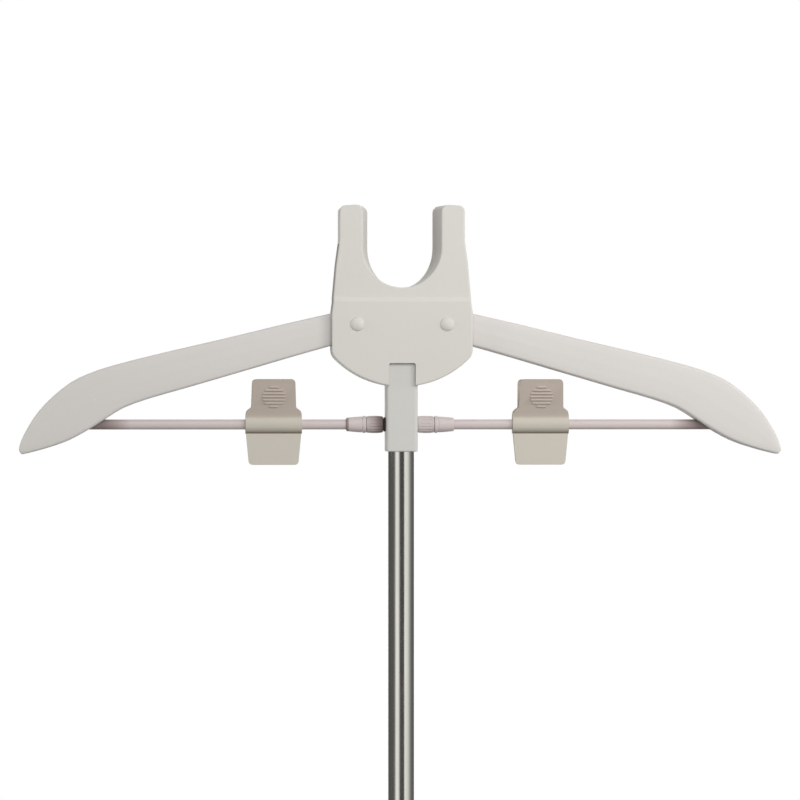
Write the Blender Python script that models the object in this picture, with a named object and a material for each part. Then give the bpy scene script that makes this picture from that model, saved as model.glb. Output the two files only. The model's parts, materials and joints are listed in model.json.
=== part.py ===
"""Hanger head of a garment steamer: a forked head with two folding arms, a clip bar on each side
and the top length of its pole. Metres, +Z up, the front towards -Y, the origin at the centre of
the pole's lower end."""

import math

import bmesh
import bpy
from mathutils import Matrix, Vector
from mathutils.geometry import interpolate_bezier

# Clearances
RUNNING_GAP = 0.0003
SEAT_GAP = 0.0001
CUT_OVERRUN = 0.0020

# Pole
POLE_DIAMETER = 0.0150
POLE_WALL = 0.0010
POLE_BELOW_STEM = 0.3400
POLE_IN_STEM = 0.0520
PLUG_FLANGE = 0.0020
PLUG_SPIGOT = 0.0140
PLUG_CHAMFER = 0.0005

# Stem
STEM_WIDTH = 0.0180
STEM_FRONT_WALL = 0.0037
STEM_BACK_WALL = 0.0021
STEM_BELOW_BARS = 0.0156
STEM_ABOVE_BARS = 0.0620
STEM_CORNER = 0.0016
STEM_FOOT_ROUND = 0.0006

# Bars and their couplings, measured along the bar from the stem's side
BAR_DIAMETER = 0.0058
BAR_WALL = 0.0008
BAR_END_FROM_ARM_TIP = 0.0325
BAR_IN_NUT = 0.0035
STUD_DIAMETER = 0.0050
STUD_IN_NUT = 0.0044
NUT_LENGTH = 0.0098
NUT_DIAMETER = 0.0099
NUT_FLUTES = 12
NUT_FLUTE_DEPTH = 0.0004
NUT_CHAMFER = 0.0005
LEFT_NECK = 0.0015
NECK_WASHER_DIAMETER = 0.0083
RIGHT_NECK = 0.0003
SPIGOT_DIAMETER = 0.0073
SPIGOT_LENGTH = 0.0040
SLEEVE_LENGTH = 0.0114
SLEEVE_COLLAR = 0.0020
SLEEVE_COLLAR_DIAMETER = 0.0098
SLEEVE_ROOT_DIAMETER = 0.0092
SLEEVE_TIP_DIAMETER = 0.0078
CAP_THICKNESS = 0.0012
CAP_SPIGOT_LENGTH = 0.0080

# Head, with heights above the bars
HEAD_STEP = 0.0045
HEAD_TOP = 0.1266
CHIN_CENTRE = 0.0756
CHIN_RADIUS = 0.0538
CHIN_CORNER = 0.0030
CREASE_LOW = 0.0706
CREASE_HIGH = 0.0731
CREASE_INSET = 0.0009
FLARE_START = 0.0640
FLARE_MIDDLE = 0.0920
FLARE_MIDDLE_INSET = 0.0026
FLARE_END = 0.1060
PRONG_WIDTH = 0.0133
PRONG_TOP_FALL = 0.0009
PRONG_OUTER_CORNER = 0.0030
PRONG_INNER_CORNER = 0.0036
CRADLE_HALF_WIDTH = 0.0227
CRADLE_DRAFT = 0.0039
CRADLE_DEPTH = 0.0234
CRADLE_FLOOR = 0.0787
PLATE_PROUD = 0.0015
COVER_WALL = 0.0020
EDGE_ROUND = 0.0008
SMALLEST_CORNER = 0.0003
NOTCH_HALF_WIDTH = 0.00765
NOTCH_ABOVE_CHIN = 0.0135
NOTCH_CORNER = 0.0010
STEM_POCKET = 0.0003
SLOT_ABOVE_CREASE = 0.0309

# Pivots of the arms
PIVOT_FROM_SIDE = 0.0147
PIVOT_ABOVE_BARS = 0.0577
RIVET_DIAMETER = 0.0050
RIVET_HEAD_DIAMETER = 0.0080
RIVET_HEAD_HEIGHT = 0.0021
RIVET_TAIL_DIAMETER = 0.0078
RIVET_TAIL_HEIGHT = 0.0012
PIVOT_BOSS_DIAMETER = 0.0120
WASHER_THICKNESS = 0.0010

# Screws
SCREW_SHANK_DIAMETER = 0.0028
SCREW_LENGTH = 0.0130
SCREW_HEAD_DIAMETER = 0.0056
SCREW_HEAD_HEIGHT = 0.0018
SCREW_RECESS_DEPTH = 0.0010
SCREW_RECESS_LENGTH = 0.0030
SCREW_RECESS_WIDTH = 0.0007
CHIN_SCREW_FROM_SIDE = 0.0235
CHIN_SCREW_ABOVE_CHIN = 0.0112
PRONG_SCREW_BELOW_TOP = 0.0114
BOSS_DIAMETER = 0.0062
STEM_SCREWS_BELOW_STEM_TOP = (0.0160, 0.0060)

# Arms
ARM_FRONT_Y = -0.0090
ARM_DEPTH = 0.0160
ARM_LENGTH = 0.1942
ARM_DROP = 0.0749
ARM_WALL = 0.0020
ARM_HOLLOW_START_SHARE = 0.098
ARM_HOLLOW_END_SHARE = 0.950
SADDLE_RIB_FROM_TIP = 0.0390
SADDLE_RIB_THICKNESS = 0.0020
BAR_SLOT_LENGTH = 0.0380

# Clips, with heights above the bar's axis
LEFT_CLIP_X = 0.0736
RIGHT_CLIP_X = 0.0807
CLIP_SHEET = 0.0015
ROLL_DIAMETER = 0.0106
ROLL_HALF_WIDTH = 0.01625
RELIEF_HALF_WIDTH = 0.0120
RELIEF_WALL = 0.0007
ROLL_TOP_DEGREES = 58
ROLL_FOOT_DEGREES = 74
TAB_LEAN_DEGREES = 22
TAB_ROOT_Y = -0.0027
TAB_ROOT_Z = 0.0034
TAB_LENGTH = 0.0242
TAB_TOP_HALF_WIDTH = 0.0122
TAB_FOOT_HALF_WIDTH = 0.0128
SHOULDER_HEIGHT = 0.0066
JAW_FRONT_Y = -0.0025
JAW_TOP_Z = -0.0034
JAW_LENGTH = 0.0199
JAW_TOP_HALF_WIDTH = 0.0159
JAW_FOOT_HALF_WIDTH = 0.0142
CLIP_CORNER = 0.0023
CLIP_EDGE_ROUND = 0.0003
GRIP_RADIUS = 0.0065
GRIP_PITCH = 0.0020
GRIP_RIDGES = 7
GRIP_RIDGE_WIDTH = 0.0009
GRIP_RIDGE_HEIGHT = 0.0005
GRIP_ABOVE_TAB_ROOT = 0.0139
PAD_HALF_WIDTH = 0.0115
PAD_HEIGHT = 0.0105
PAD_THICKNESS = 0.0007
PAD_ABOVE_JAW_FOOT = 0.0018
PAD_CORNER = 0.0015
BUSH_LENGTH = 0.0085
BUSH_WALL = 0.0008
SPRING_WIRE = 0.0007
SPRING_TURNS = 5
SPRING_PITCH = 0.00125
SPRING_LEG_LENGTH = 0.0108
SPRING_LEG_FROM_TAB = 0.00065

# Facets
POLE_SIDES = 30
SLEEVE_SIDES = 24
BAR_SIDES = 18
SMALL_SIDES = 12
SIDES_PER_FLUTE = 3
CHIN_STEPS = 14
CORNER_STEPS = 3
CRADLE_STEPS = 12
ARM_SPAN_STEPS = 2
ARM_ROOT_STEPS = 4
DOME_STEPS = 4
ROLL_STEPS = 10
COIL_POINTS = 10

# Finishes as colour, roughness and metallic value
HEAD_PLASTIC = ((0.66, 0.63, 0.59), 0.55, 0.0)
ARM_PLASTIC = ((0.68, 0.65, 0.61), 0.55, 0.0)
STEM_PLASTIC = ((0.60, 0.58, 0.55), 0.5, 0.0)
BAR_ENAMEL = ((0.58, 0.51, 0.48), 0.4, 0.0)
NUT_PLASTIC = ((0.42, 0.36, 0.33), 0.45, 0.0)
CLIP_PLASTIC = ((0.50, 0.46, 0.40), 0.45, 0.0)
POLE_STEEL = ((0.40, 0.39, 0.37), 0.2, 1.0)
ZINC_STEEL = ((0.55, 0.55, 0.55), 0.35, 1.0)
SPRING_STEEL = ((0.35, 0.35, 0.36), 0.3, 1.0)
PAD_RUBBER = ((0.28, 0.26, 0.24), 0.8, 0.0)
PLUG_PLASTIC = ((0.10, 0.10, 0.10), 0.6, 0.0)
WASHER_RUBBER = ((0.05, 0.05, 0.05), 0.6, 0.0)

# Derived heights and places
BAR_Z = POLE_BELOW_STEM + STEM_BELOW_BARS
STEM_FRONT_Y = -POLE_DIAMETER / 2 - RUNNING_GAP - STEM_FRONT_WALL
STEM_BACK_Y = POLE_DIAMETER / 2 + RUNNING_GAP + STEM_BACK_WALL
CHIN_LOWEST = CHIN_CENTRE - CHIN_RADIUS
NOTCH_TOP = CHIN_LOWEST + NOTCH_ABOVE_CHIN
PRONG_HALF_WIDTH = CRADLE_HALF_WIDTH + PRONG_WIDTH
HEAD_HALF_WIDTH = PRONG_HALF_WIDTH + HEAD_STEP
CREASE_HALF_WIDTH = HEAD_HALF_WIDTH - CREASE_INSET
FLARE_MIDDLE_HALF_WIDTH = HEAD_HALF_WIDTH - FLARE_MIDDLE_INSET
CHIN_SCREW_X = HEAD_HALF_WIDTH - CHIN_SCREW_FROM_SIDE
PRONG_SCREW_X = PRONG_HALF_WIDTH - COVER_WALL - RUNNING_GAP - BOSS_DIAMETER / 2
PIVOT_X = HEAD_HALF_WIDTH - PIVOT_FROM_SIDE
PIVOT_Z = BAR_Z + PIVOT_ABOVE_BARS
PLATE_Y = STEM_FRONT_Y - RUNNING_GAP - STEM_POCKET - COVER_WALL
FORK_Y = PLATE_Y + PLATE_PROUD
REAR_INNER_Y = STEM_BACK_Y + RUNNING_GAP
REAR_Y = REAR_INNER_Y + COVER_WALL
ARM_BACK_Y = ARM_FRONT_Y + ARM_DEPTH
ARM_TIP_X = PIVOT_X + ARM_LENGTH
SADDLE_RIB_X = ARM_TIP_X - SADDLE_RIB_FROM_TIP
BAR_END_X = ARM_TIP_X - BAR_END_FROM_ARM_TIP
STUD_END_X = STEM_WIDTH / 2 + RIGHT_NECK + STUD_IN_NUT + RUNNING_GAP
BORE_RADIUS = BAR_DIAMETER / 2 + RUNNING_GAP

# An arm's two edges from the pivot to the tip, as shares of its length and of its drop
ARM_TOP_SHARES = (
    (0.012, -0.129),
    (0.078, -0.083),
    (0.228, 0.006),
    (0.382, 0.104),
    (0.537, 0.197),
    (0.650, 0.268),
    (0.732, 0.325),
    (0.794, 0.380),
    (0.846, 0.447),
    (0.899, 0.556),
    (0.941, 0.670),
    (0.972, 0.791),
    (0.992, 0.894),
    (0.999, 0.965),
)
ARM_BOTTOM_SHARES = (
    (-0.011, 0.111),
    (0.058, 0.153),
    (0.204, 0.260),
    (0.359, 0.379),
    (0.511, 0.494),
    (0.616, 0.572),
    (0.691, 0.643),
    (0.745, 0.730),
    (0.797, 0.815),
    (0.850, 0.889),
    (0.900, 0.937),
    (0.941, 0.968),
    (0.971, 0.988),
    (0.991, 1.000),
)
# An arm's section from its upper back edge round the front, as shares of its width and depth
ARM_SECTION_SHARES = (
    (0.0, 1.0),
    (0.0, 0.14),
    (0.015, 0.07),
    (0.05, 0.035),
    (0.2, 0.012),
    (0.5, 0.0),
    (0.8, 0.012),
    (0.95, 0.035),
    (0.985, 0.07),
    (1.0, 0.14),
    (1.0, 1.0),
)
# The rounding of a moulded edge, as shares of its radius: how far in and how far back
ROUND_SHARES = ((1.0, 0.0), (0.3, 0.3), (0.0, 1.0))
# A screw's head and a moulded flute, and a spring's knee between its leg and its first turn
SCREW_HEAD_SHARES = ((0.5, 1.0), (0.85, 0.8), (1.0, 0.5))
SCREW_POINT_SHARE = 0.3
FLUTE_RIM_SHARE = 0.85
KNEE_SHARES = (0.7, 0.5)
CREST_SHARE = 0.5
HANDLE_SHARE = 1 / 6
SMOOTH_DEGREES = 35
# The shoulder at a thumb tab's foot, as shares of its height and of its spread
SHOULDER_SHARES = (
    (0.0, 1.0),
    (0.3, 0.97),
    (0.53, 0.9),
    (0.7, 0.73),
    (0.85, 0.45),
    (0.93, 0.2),
    (1.0, 0.0),
)


def clear_scene():
    for thing in list(bpy.data.objects):
        bpy.data.objects.remove(thing, do_unlink=True)


def finish_material(name, colour, roughness, metallic):
    material = bpy.data.materials.new(name)
    material.use_nodes = True
    shader = material.node_tree.nodes["Principled BSDF"]
    shader.inputs["Base Color"].default_value = (*colour, 1.0)
    shader.inputs["Roughness"].default_value = roughness
    shader.inputs["Metallic"].default_value = metallic
    material.diffuse_color = (*colour, 1.0)
    return material


def node(name, body, finish, origin=None):
    """An object from a bmesh in world coordinates, its origin moved to the given point."""
    mesh = bpy.data.meshes.new(name)
    body.to_mesh(mesh)
    body.free()
    mesh.shade_smooth()
    mesh.set_sharp_from_angle(angle=math.radians(SMOOTH_DEGREES))
    thing = bpy.data.objects.new(name, mesh)
    bpy.context.scene.collection.objects.link(thing)
    mesh.materials.append(finish_material(name, *finish))
    if origin is not None:
        mesh.transform(Matrix.Translation(-origin))
        thing.location = origin
    return thing


def tool(name, body):
    """A hidden body that a Boolean takes away from a piece or adds to it."""
    mesh = bpy.data.meshes.new(name)
    body.to_mesh(mesh)
    body.free()
    thing = bpy.data.objects.new(name, mesh)
    bpy.context.scene.collection.objects.link(thing)
    thing.hide_render = True
    thing.display_type = "WIRE"
    return thing


def cut(thing, body):
    """Takes a body away, and gives the tool that does it."""
    modifier = thing.modifiers.new("cut", "BOOLEAN")
    modifier.operation = "DIFFERENCE"
    modifier.object = tool(thing.name + "_cut", body)
    return modifier.object


def add(thing, body):
    modifier = thing.modifiers.new("add", "BOOLEAN")
    modifier.operation = "UNION"
    modifier.object = tool(thing.name + "_add", body)


def loft(loops, first_caps=None, last_caps=None):
    """A closed body through loops with as many points each. Caps are lists of point numbers."""
    body = bmesh.new()
    rings = [[body.verts.new(point) for point in loop] for loop in loops]
    count = len(rings[0])
    for near, far in zip(rings, rings[1:]):
        for i in range(count):
            j = (i + 1) % count
            body.faces.new((near[i], near[j], far[j], far[i]))
    for ring, caps in ((rings[0], first_caps), (rings[-1], last_caps)):
        for cap in caps or [range(count)]:
            body.faces.new([ring[i] for i in cap])
    bmesh.ops.recalc_face_normals(body, faces=body.faces)
    return body


def joined(bodies):
    """One bmesh that holds several bodies which don't touch."""
    whole = bmesh.new()
    for body in bodies:
        mesh = bpy.data.meshes.new("joined")
        body.to_mesh(mesh)
        body.free()
        whole.from_mesh(mesh)
        bpy.data.meshes.remove(mesh)
    return whole


def box(low, high):
    """A box between two corners, given in any order."""
    body = bmesh.new()
    bmesh.ops.create_cube(body, size=1)
    centre = (Vector(low) + Vector(high)) / 2
    sides = [abs(b - a) for a, b in zip(low, high)]
    bmesh.ops.scale(body, vec=sides, verts=body.verts)
    bmesh.ops.translate(body, vec=centre, verts=body.verts)
    return body


def turned(profile, sides, axis, at, bored=False, radius_at=None):
    """A turned body. The profile lists (distance along the axis, radius), and closes if bored."""
    along = Vector(axis)
    across = Vector((0, 0, 1)) if abs(along.z) < abs(along.x) + abs(along.y) else Vector((1, 0, 0))
    other = along.cross(across)
    body = bmesh.new()
    rings = []
    for distance, radius in profile:
        ring = []
        for k in range(sides):
            angle = 2 * math.pi * k / sides
            reach = radius_at(radius, angle) if radius_at else radius
            spoke = across * math.cos(angle) + other * math.sin(angle)
            ring.append(body.verts.new(Vector(at) + along * distance + spoke * reach))
        rings.append(ring)
    pairs = list(zip(rings, rings[1:]))
    if bored:
        pairs.append((rings[-1], rings[0]))
    for near, far in pairs:
        for i in range(sides):
            j = (i + 1) % sides
            body.faces.new((near[i], near[j], far[j], far[i]))
    if not bored:
        body.faces.new(rings[0])
        body.faces.new(rings[-1])
    bmesh.ops.recalc_face_normals(body, faces=body.faces)
    return body


def rod(start, end, diameter, sides):
    """A plain cylinder between two points."""
    way = Vector(end) - Vector(start)
    radius = diameter / 2
    return turned([(0, radius), (way.length, radius)], sides, way.normalized(), start)


def fillet(before, corner, after, radius):
    """The arc that rounds one corner of an outline, as points."""
    back = (before - corner).normalized()
    forward = (after - corner).normalized()
    half_angle = back.angle(forward) / 2
    reach = radius / math.tan(half_angle)
    centre = corner + (back + forward).normalized() * radius / math.sin(half_angle)
    first = corner + back * reach - centre
    last = corner + forward * reach - centre
    shares = [i / CORNER_STEPS for i in range(CORNER_STEPS + 1)]
    return [centre + (first * (1 - t) + last * t).normalized() * radius for t in shares]


def rectangle(left, right, low, high):
    return [Vector(point) for point in ((left, low), (right, low), (right, high), (left, high))]


def mirrored(half):
    """A whole outline from its right half, whose two ends lie on the centre line."""
    return half + [Vector((-point.x, point.y)) for point in reversed(half[1:-1])]


# Head covers


def cradle_half_at(y):
    """The fork's inner walls close in evenly from the front face to the back."""
    share = (y - FORK_Y) / (REAR_Y - FORK_Y)
    return CRADLE_HALF_WIDTH - CRADLE_DRAFT * share


def head_outline(inset, cradle_half):
    """The head from the chin's lowest point up its right side, over the prong to the cradle's
    floor, and back down the left side. An inset draws the outline in by a wall or a round."""
    chin_radius = CHIN_RADIUS - inset
    side = HEAD_HALF_WIDTH - inset
    corner = Vector((side, CHIN_CENTRE - math.sqrt(chin_radius**2 - side**2)))
    chin_end = math.asin(side / chin_radius) - CHIN_CORNER / CHIN_RADIUS
    half = []
    for k in range(CHIN_STEPS + 1):
        angle = chin_end * k / CHIN_STEPS
        half.append(
            Vector((chin_radius * math.sin(angle), CHIN_CENTRE - chin_radius * math.cos(angle)))
        )
    start = half[-1]
    end = Vector((side, corner.y + CHIN_CORNER))
    for k in range(1, CORNER_STEPS + 1):
        t = k / CORNER_STEPS
        half.append(start * (1 - t) ** 2 + corner * 2 * t * (1 - t) + end * t**2)
    half.append(Vector((side, FLARE_START)))
    half.append(Vector((CREASE_HALF_WIDTH - inset, CREASE_LOW)))
    half.append(Vector((CREASE_HALF_WIDTH - inset, CREASE_HIGH)))
    half.append(Vector((FLARE_MIDDLE_HALF_WIDTH - inset, FLARE_MIDDLE)))
    flare_end = Vector((PRONG_HALF_WIDTH - inset, FLARE_END))
    half.append(flare_end)
    top = HEAD_TOP - inset
    outer = Vector((PRONG_HALF_WIDTH - inset, top - PRONG_TOP_FALL))
    inner = Vector((cradle_half + inset, top))
    centre = CRADLE_FLOOR + CRADLE_DEPTH
    straight_end = Vector((cradle_half + inset, centre))
    half += fillet(flare_end, outer, inner, max(PRONG_OUTER_CORNER - inset, SMALLEST_CORNER))
    half += fillet(outer, inner, straight_end, max(PRONG_INNER_CORNER - inset, SMALLEST_CORNER))
    for k in range(CRADLE_STEPS + 1):
        angle = math.pi / 2 * k / CRADLE_STEPS
        across = (cradle_half + inset) * math.cos(angle)
        half.append(Vector((across, centre - (CRADLE_DEPTH + inset) * math.sin(angle))))
    half[-1].x = 0
    return mirrored(half)


def cover_loop(inset, face_of, setback):
    """One loop of a cover, its face at each point's own depth plus the setback."""
    fork_y = face_of(HEAD_TOP) + setback
    outline = head_outline(inset, cradle_half_at(fork_y))
    return [Vector((p.x, face_of(p.y) + setback, BAR_Z + p.y)) for p in outline]


def cover(face_of, inward, part_y):
    """A cover as an open shell: rounded edge, sides to the parting face, and back up inside."""
    loops = []
    for inset_share, setback_share in ROUND_SHARES:
        setback = inward * EDGE_ROUND * setback_share
        loops.append(cover_loop(EDGE_ROUND * inset_share, face_of, setback))
    loops.append(cover_loop(0, lambda z: part_y, 0))
    loops.append(cover_loop(COVER_WALL, lambda z: part_y, 0))
    loops.append(cover_loop(COVER_WALL, face_of, inward * COVER_WALL))
    return loops


def front_face(z):
    """The plate below the crease, the fork above it."""
    return PLATE_Y if z < (CREASE_LOW + CREASE_HIGH) / 2 else FORK_Y


def front_caps(loop):
    """The plate, the bevel above it and the fork, as three faces that share their corners."""
    count = len(loop)
    low = CHIN_STEPS + CORNER_STEPS + 2
    plate = list(range(low + 1)) + list(range(count - low, count))
    bevel = [low, low + 1, count - low - 1, count - low]
    fork = list(range(low + 1, count - low))
    return [plate, bevel, fork]


def head_screw_places():
    places = []
    for side in (-1, 1):
        places.append((side * CHIN_SCREW_X, BAR_Z + CHIN_LOWEST + CHIN_SCREW_ABOVE_CHIN))
        places.append((side * PRONG_SCREW_X, BAR_Z + HEAD_TOP - PRONG_SCREW_BELOW_TOP))
    return places


def side_slots():
    """Where the arms come out and swing up between the covers."""
    bodies = []
    bottom = BAR_Z + arm_exit_height() - RUNNING_GAP
    top = BAR_Z + CREASE_HIGH + SLOT_ABOVE_CREASE
    for side in (-1, 1):
        inner_x = PRONG_HALF_WIDTH - COVER_WALL - CUT_OVERRUN / 2
        outer_x = HEAD_HALF_WIDTH + CUT_OVERRUN
        low = (side * inner_x, FORK_Y + COVER_WALL + SEAT_GAP, bottom)
        high = (side * outer_x, REAR_INNER_Y - SEAT_GAP, top)
        bodies.append(box(low, high))
    return joined(bodies)


def arm_exit_height():
    """Height above the bars at which an arm's lower edge crosses the head's side."""
    points = [arm_point(shares) for shares in ARM_BOTTOM_SHARES]
    for near, far in zip(points, points[1:]):
        if near.x <= HEAD_HALF_WIDTH <= far.x:
            share = (HEAD_HALF_WIDTH - near.x) / (far.x - near.x)
            return near.y + (far.y - near.y) * share - BAR_Z
    return PIVOT_ABOVE_BARS


def head_front_cover():
    loops = cover(front_face, 1, -RUNNING_GAP / 2)
    caps = front_caps(loops[0])
    thing = node("head_front_cover", loft(loops, caps, caps), HEAD_PLASTIC)
    bosses = []
    for x, z in head_screw_places():
        start = (x, front_face(z - BAR_Z) + COVER_WALL / 2, z)
        bosses.append(rod(start, (x, REAR_INNER_Y - RUNNING_GAP, z), BOSS_DIAMETER, SMALL_SIDES))
    for side in (-1, 1):
        start = (side * PIVOT_X, PLATE_Y + COVER_WALL / 2, PIVOT_Z)
        end = (side * PIVOT_X, ARM_FRONT_Y - RUNNING_GAP, PIVOT_Z)
        bosses.append(rod(start, end, PIVOT_BOSS_DIAMETER, SMALL_SIDES))
    add(thing, joined(bosses))
    holes = []
    for x, z in head_screw_places():
        end_y = REAR_Y - SCREW_LENGTH - CUT_OVERRUN
        start = (x, REAR_INNER_Y + CUT_OVERRUN, z)
        holes.append(rod(start, (x, end_y, z), SCREW_SHANK_DIAMETER + RUNNING_GAP, SMALL_SIDES))
    for side in (-1, 1):
        start = (side * PIVOT_X, PLATE_Y - CUT_OVERRUN, PIVOT_Z)
        end = (side * PIVOT_X, ARM_FRONT_Y + CUT_OVERRUN, PIVOT_Z)
        holes.append(rod(start, end, RIVET_DIAMETER + 2 * RUNNING_GAP, SMALL_SIDES))
    cut(thing, joined(holes))
    cut(thing, side_slots())
    half = NOTCH_HALF_WIDTH
    foot = CHIN_LOWEST - CUT_OVERRUN
    corners = rectangle(-half, half, foot, NOTCH_TOP)
    outline = corners[:2]
    outline += fillet(corners[1], corners[2], corners[3], NOTCH_CORNER)
    outline += fillet(corners[2], corners[3], corners[0], NOTCH_CORNER)
    depths = (PLATE_Y - CUT_OVERRUN, PLATE_Y + COVER_WALL + CUT_OVERRUN / 2)
    cut(thing, loft([[Vector((p.x, y, BAR_Z + p.y)) for p in outline] for y in depths]))
    cut(thing, stem_passage(PLATE_Y + COVER_WALL - STEM_POCKET, CUT_OVERRUN))
    return thing


def stem_passage(from_y, to_y):
    half = STEM_WIDTH / 2 + RUNNING_GAP
    foot = BAR_Z + CHIN_LOWEST - CUT_OVERRUN
    return box((-half, from_y, foot), (half, to_y, BAR_Z + NOTCH_TOP + CUT_OVERRUN))


def head_rear_cover():
    loops = cover(lambda z: REAR_Y, -1, RUNNING_GAP / 2)
    thing = node("head_rear_cover", loft(loops), HEAD_PLASTIC)
    bosses = []
    for side in (-1, 1):
        start = (side * PIVOT_X, REAR_Y - COVER_WALL / 2, PIVOT_Z)
        end_y = ARM_BACK_Y + 2 * RUNNING_GAP + WASHER_THICKNESS
        bosses.append(rod(start, (side * PIVOT_X, end_y, PIVOT_Z), PIVOT_BOSS_DIAMETER, SMALL_SIDES))
    add(thing, joined(bosses))
    holes = []
    hole = SCREW_SHANK_DIAMETER + 2 * RUNNING_GAP
    for x, z in head_screw_places() + stem_screw_places():
        start = (x, REAR_Y + CUT_OVERRUN, z)
        holes.append(rod(start, (x, REAR_INNER_Y - CUT_OVERRUN, z), hole, SMALL_SIDES))
    for side in (-1, 1):
        start = (side * PIVOT_X, ARM_BACK_Y, PIVOT_Z)
        end = (side * PIVOT_X, REAR_Y + CUT_OVERRUN, PIVOT_Z)
        holes.append(rod(start, end, RIVET_DIAMETER + 2 * RUNNING_GAP, SMALL_SIDES))
    cut(thing, joined(holes))
    cut(thing, side_slots())
    cut(thing, stem_passage(-CUT_OVERRUN, REAR_INNER_Y - SEAT_GAP))
    return thing


# Screws and rivets


def screw_body():
    """A pan-head screw that points towards -Y from the origin, with a cross recess in its head."""
    shank = SCREW_SHANK_DIAMETER / 2
    head = SCREW_HEAD_DIAMETER / 2
    profile = [
        (-SCREW_LENGTH, shank * SCREW_POINT_SHARE),
        (shank - SCREW_LENGTH, shank),
        (0, shank),
        (0, head),
    ]
    profile += [(SCREW_HEAD_HEIGHT * rise, head * reach) for rise, reach in SCREW_HEAD_SHARES]
    return turned(profile, SMALL_SIDES, (0, 1, 0), (0, 0, 0))


def recess_body(turned_up):
    half = SCREW_RECESS_LENGTH / 2
    thin = SCREW_RECESS_WIDTH / 2
    x, z = (thin, half) if turned_up else (half, thin)
    low_y = SCREW_HEAD_HEIGHT - SCREW_RECESS_DEPTH
    return box((-x, low_y, -z), (x, SCREW_HEAD_HEIGHT + CUT_OVERRUN, z))


def moved(body, place):
    bmesh.ops.translate(body, vec=place, verts=body.verts)
    return body


def screw(name, x, z):
    place = Vector((x, REAR_Y + SEAT_GAP, z))
    thing = node(name, moved(screw_body(), place), ZINC_STEEL)
    for turned_up in (True, False):
        cut(thing, moved(recess_body(turned_up), place))


def stem_screw_places():
    top = BAR_Z + STEM_ABOVE_BARS
    return [(0, top - depth) for depth in STEM_SCREWS_BELOW_STEM_TOP]


def rivet(name, side):
    shank = RIVET_DIAMETER / 2
    head = RIVET_HEAD_DIAMETER / 2
    tail = RIVET_TAIL_DIAMETER / 2
    grip = REAR_Y - PLATE_Y + 2 * SEAT_GAP
    dome = []
    for k in range(1, DOME_STEPS + 1):
        angle = math.pi / 2 * k / (DOME_STEPS + 1)
        dome.append((-RIVET_HEAD_HEIGHT * math.sin(angle), head * math.cos(angle)))
    profile = list(reversed(dome)) + [
        (0, head),
        (0, shank),
        (grip, shank),
        (grip, tail),
        (grip + RIVET_TAIL_HEIGHT / 2, tail),
        (grip + RIVET_TAIL_HEIGHT, shank),
    ]
    at = Vector((side * PIVOT_X, PLATE_Y - SEAT_GAP, PIVOT_Z))
    node(name, turned(profile, SLEEVE_SIDES, (0, 1, 0), at), HEAD_PLASTIC)


def pivot_washer(name, side):
    inner = RIVET_DIAMETER / 2 + RUNNING_GAP
    outer = PIVOT_BOSS_DIAMETER / 2 - RUNNING_GAP
    profile = [(0, inner), (0, outer), (WASHER_THICKNESS, outer), (WASHER_THICKNESS, inner)]
    at = Vector((side * PIVOT_X, ARM_BACK_Y + RUNNING_GAP, PIVOT_Z))
    node(name, turned(profile, SMALL_SIDES, (0, 1, 0), at, bored=True), ZINC_STEEL)


# Arms


def arm_point(shares):
    along, down = shares
    return Vector((PIVOT_X + along * ARM_LENGTH, PIVOT_Z - down * ARM_DROP))


def smooth_path(points):
    """A smooth curve through the points, as more points."""
    found = []
    last = len(points) - 1
    for i in range(last):
        start = points[i]
        end = points[i + 1]
        before = points[max(i - 1, 0)]
        after = points[min(i + 2, last)]
        leaving = start + (end - before) * HANDLE_SHARE
        arriving = end - (after - start) * HANDLE_SHARE
        span = interpolate_bezier(start, leaving, arriving, end, ARM_SPAN_STEPS + 1)
        found += span[:-1]
    return found + [points[-1]]


def arm_section(top, bottom, side, wall, front_y, back_y):
    """One section of the arm between its edges, drawn in by the wall on both of them."""
    width = (bottom - top).length
    margin = wall / width
    section = []
    for across, depth in ARM_SECTION_SHARES:
        share = margin + across * (1 - 2 * margin)
        point = top + (bottom - top) * share
        section.append(Vector((side * point.x, front_y + (back_y - front_y) * depth, point.y)))
    return section


def arm_edges():
    """The arm's two edges in step, from its rounded root round the pivot to its tip."""
    tops = smooth_path([arm_point(shares) for shares in ARM_TOP_SHARES])
    bottoms = smooth_path([arm_point(shares) for shares in ARM_BOTTOM_SHARES])
    middle = (tops[0] + bottoms[0]) / 2
    reach = (tops[0] - bottoms[0]).length / 2
    back = (middle - (tops[1] + bottoms[1]) / 2).normalized() * reach
    root = []
    for k in range(ARM_ROOT_STEPS, 0, -1):
        angle = math.pi / 2 * k / (ARM_ROOT_STEPS + 1)
        centre = middle + back * math.sin(angle)
        half = (tops[0] - middle) * math.cos(angle)
        root.append((centre + half, centre - half))
    return root + list(zip(tops, bottoms))


def edges_at(edges, x):
    """The arm's two edges where the line midway between them passes a given x."""
    for near, far in zip(edges, edges[1:]):
        near_x = (near[0].x + near[1].x) / 2
        far_x = (far[0].x + far[1].x) / 2
        if near_x <= x < far_x:
            share = (x - near_x) / (far_x - near_x)
            return [a + (b - a) * share for a, b in zip(near, far)]
    return edges[-1]


def arm_hollow(side, from_x, to_x):
    """One cell of the hollow behind the arm's front, open at the back. Its sections lie midway
    between the arm's own."""
    edges = arm_edges()
    front_y = ARM_FRONT_Y + ARM_WALL
    back_y = ARM_BACK_Y + CUT_OVERRUN
    cell = [edges_at(edges, from_x)]
    for near, far in zip(edges, edges[1:]):
        top, bottom = [(a + b) / 2 for a, b in zip(near, far)]
        if from_x + SEAT_GAP < (top.x + bottom.x) / 2 < to_x - SEAT_GAP:
            cell.append((top, bottom))
    cell.append(edges_at(edges, to_x))
    return loft([arm_section(top, bottom, side, ARM_WALL, front_y, back_y) for top, bottom in cell])


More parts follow.
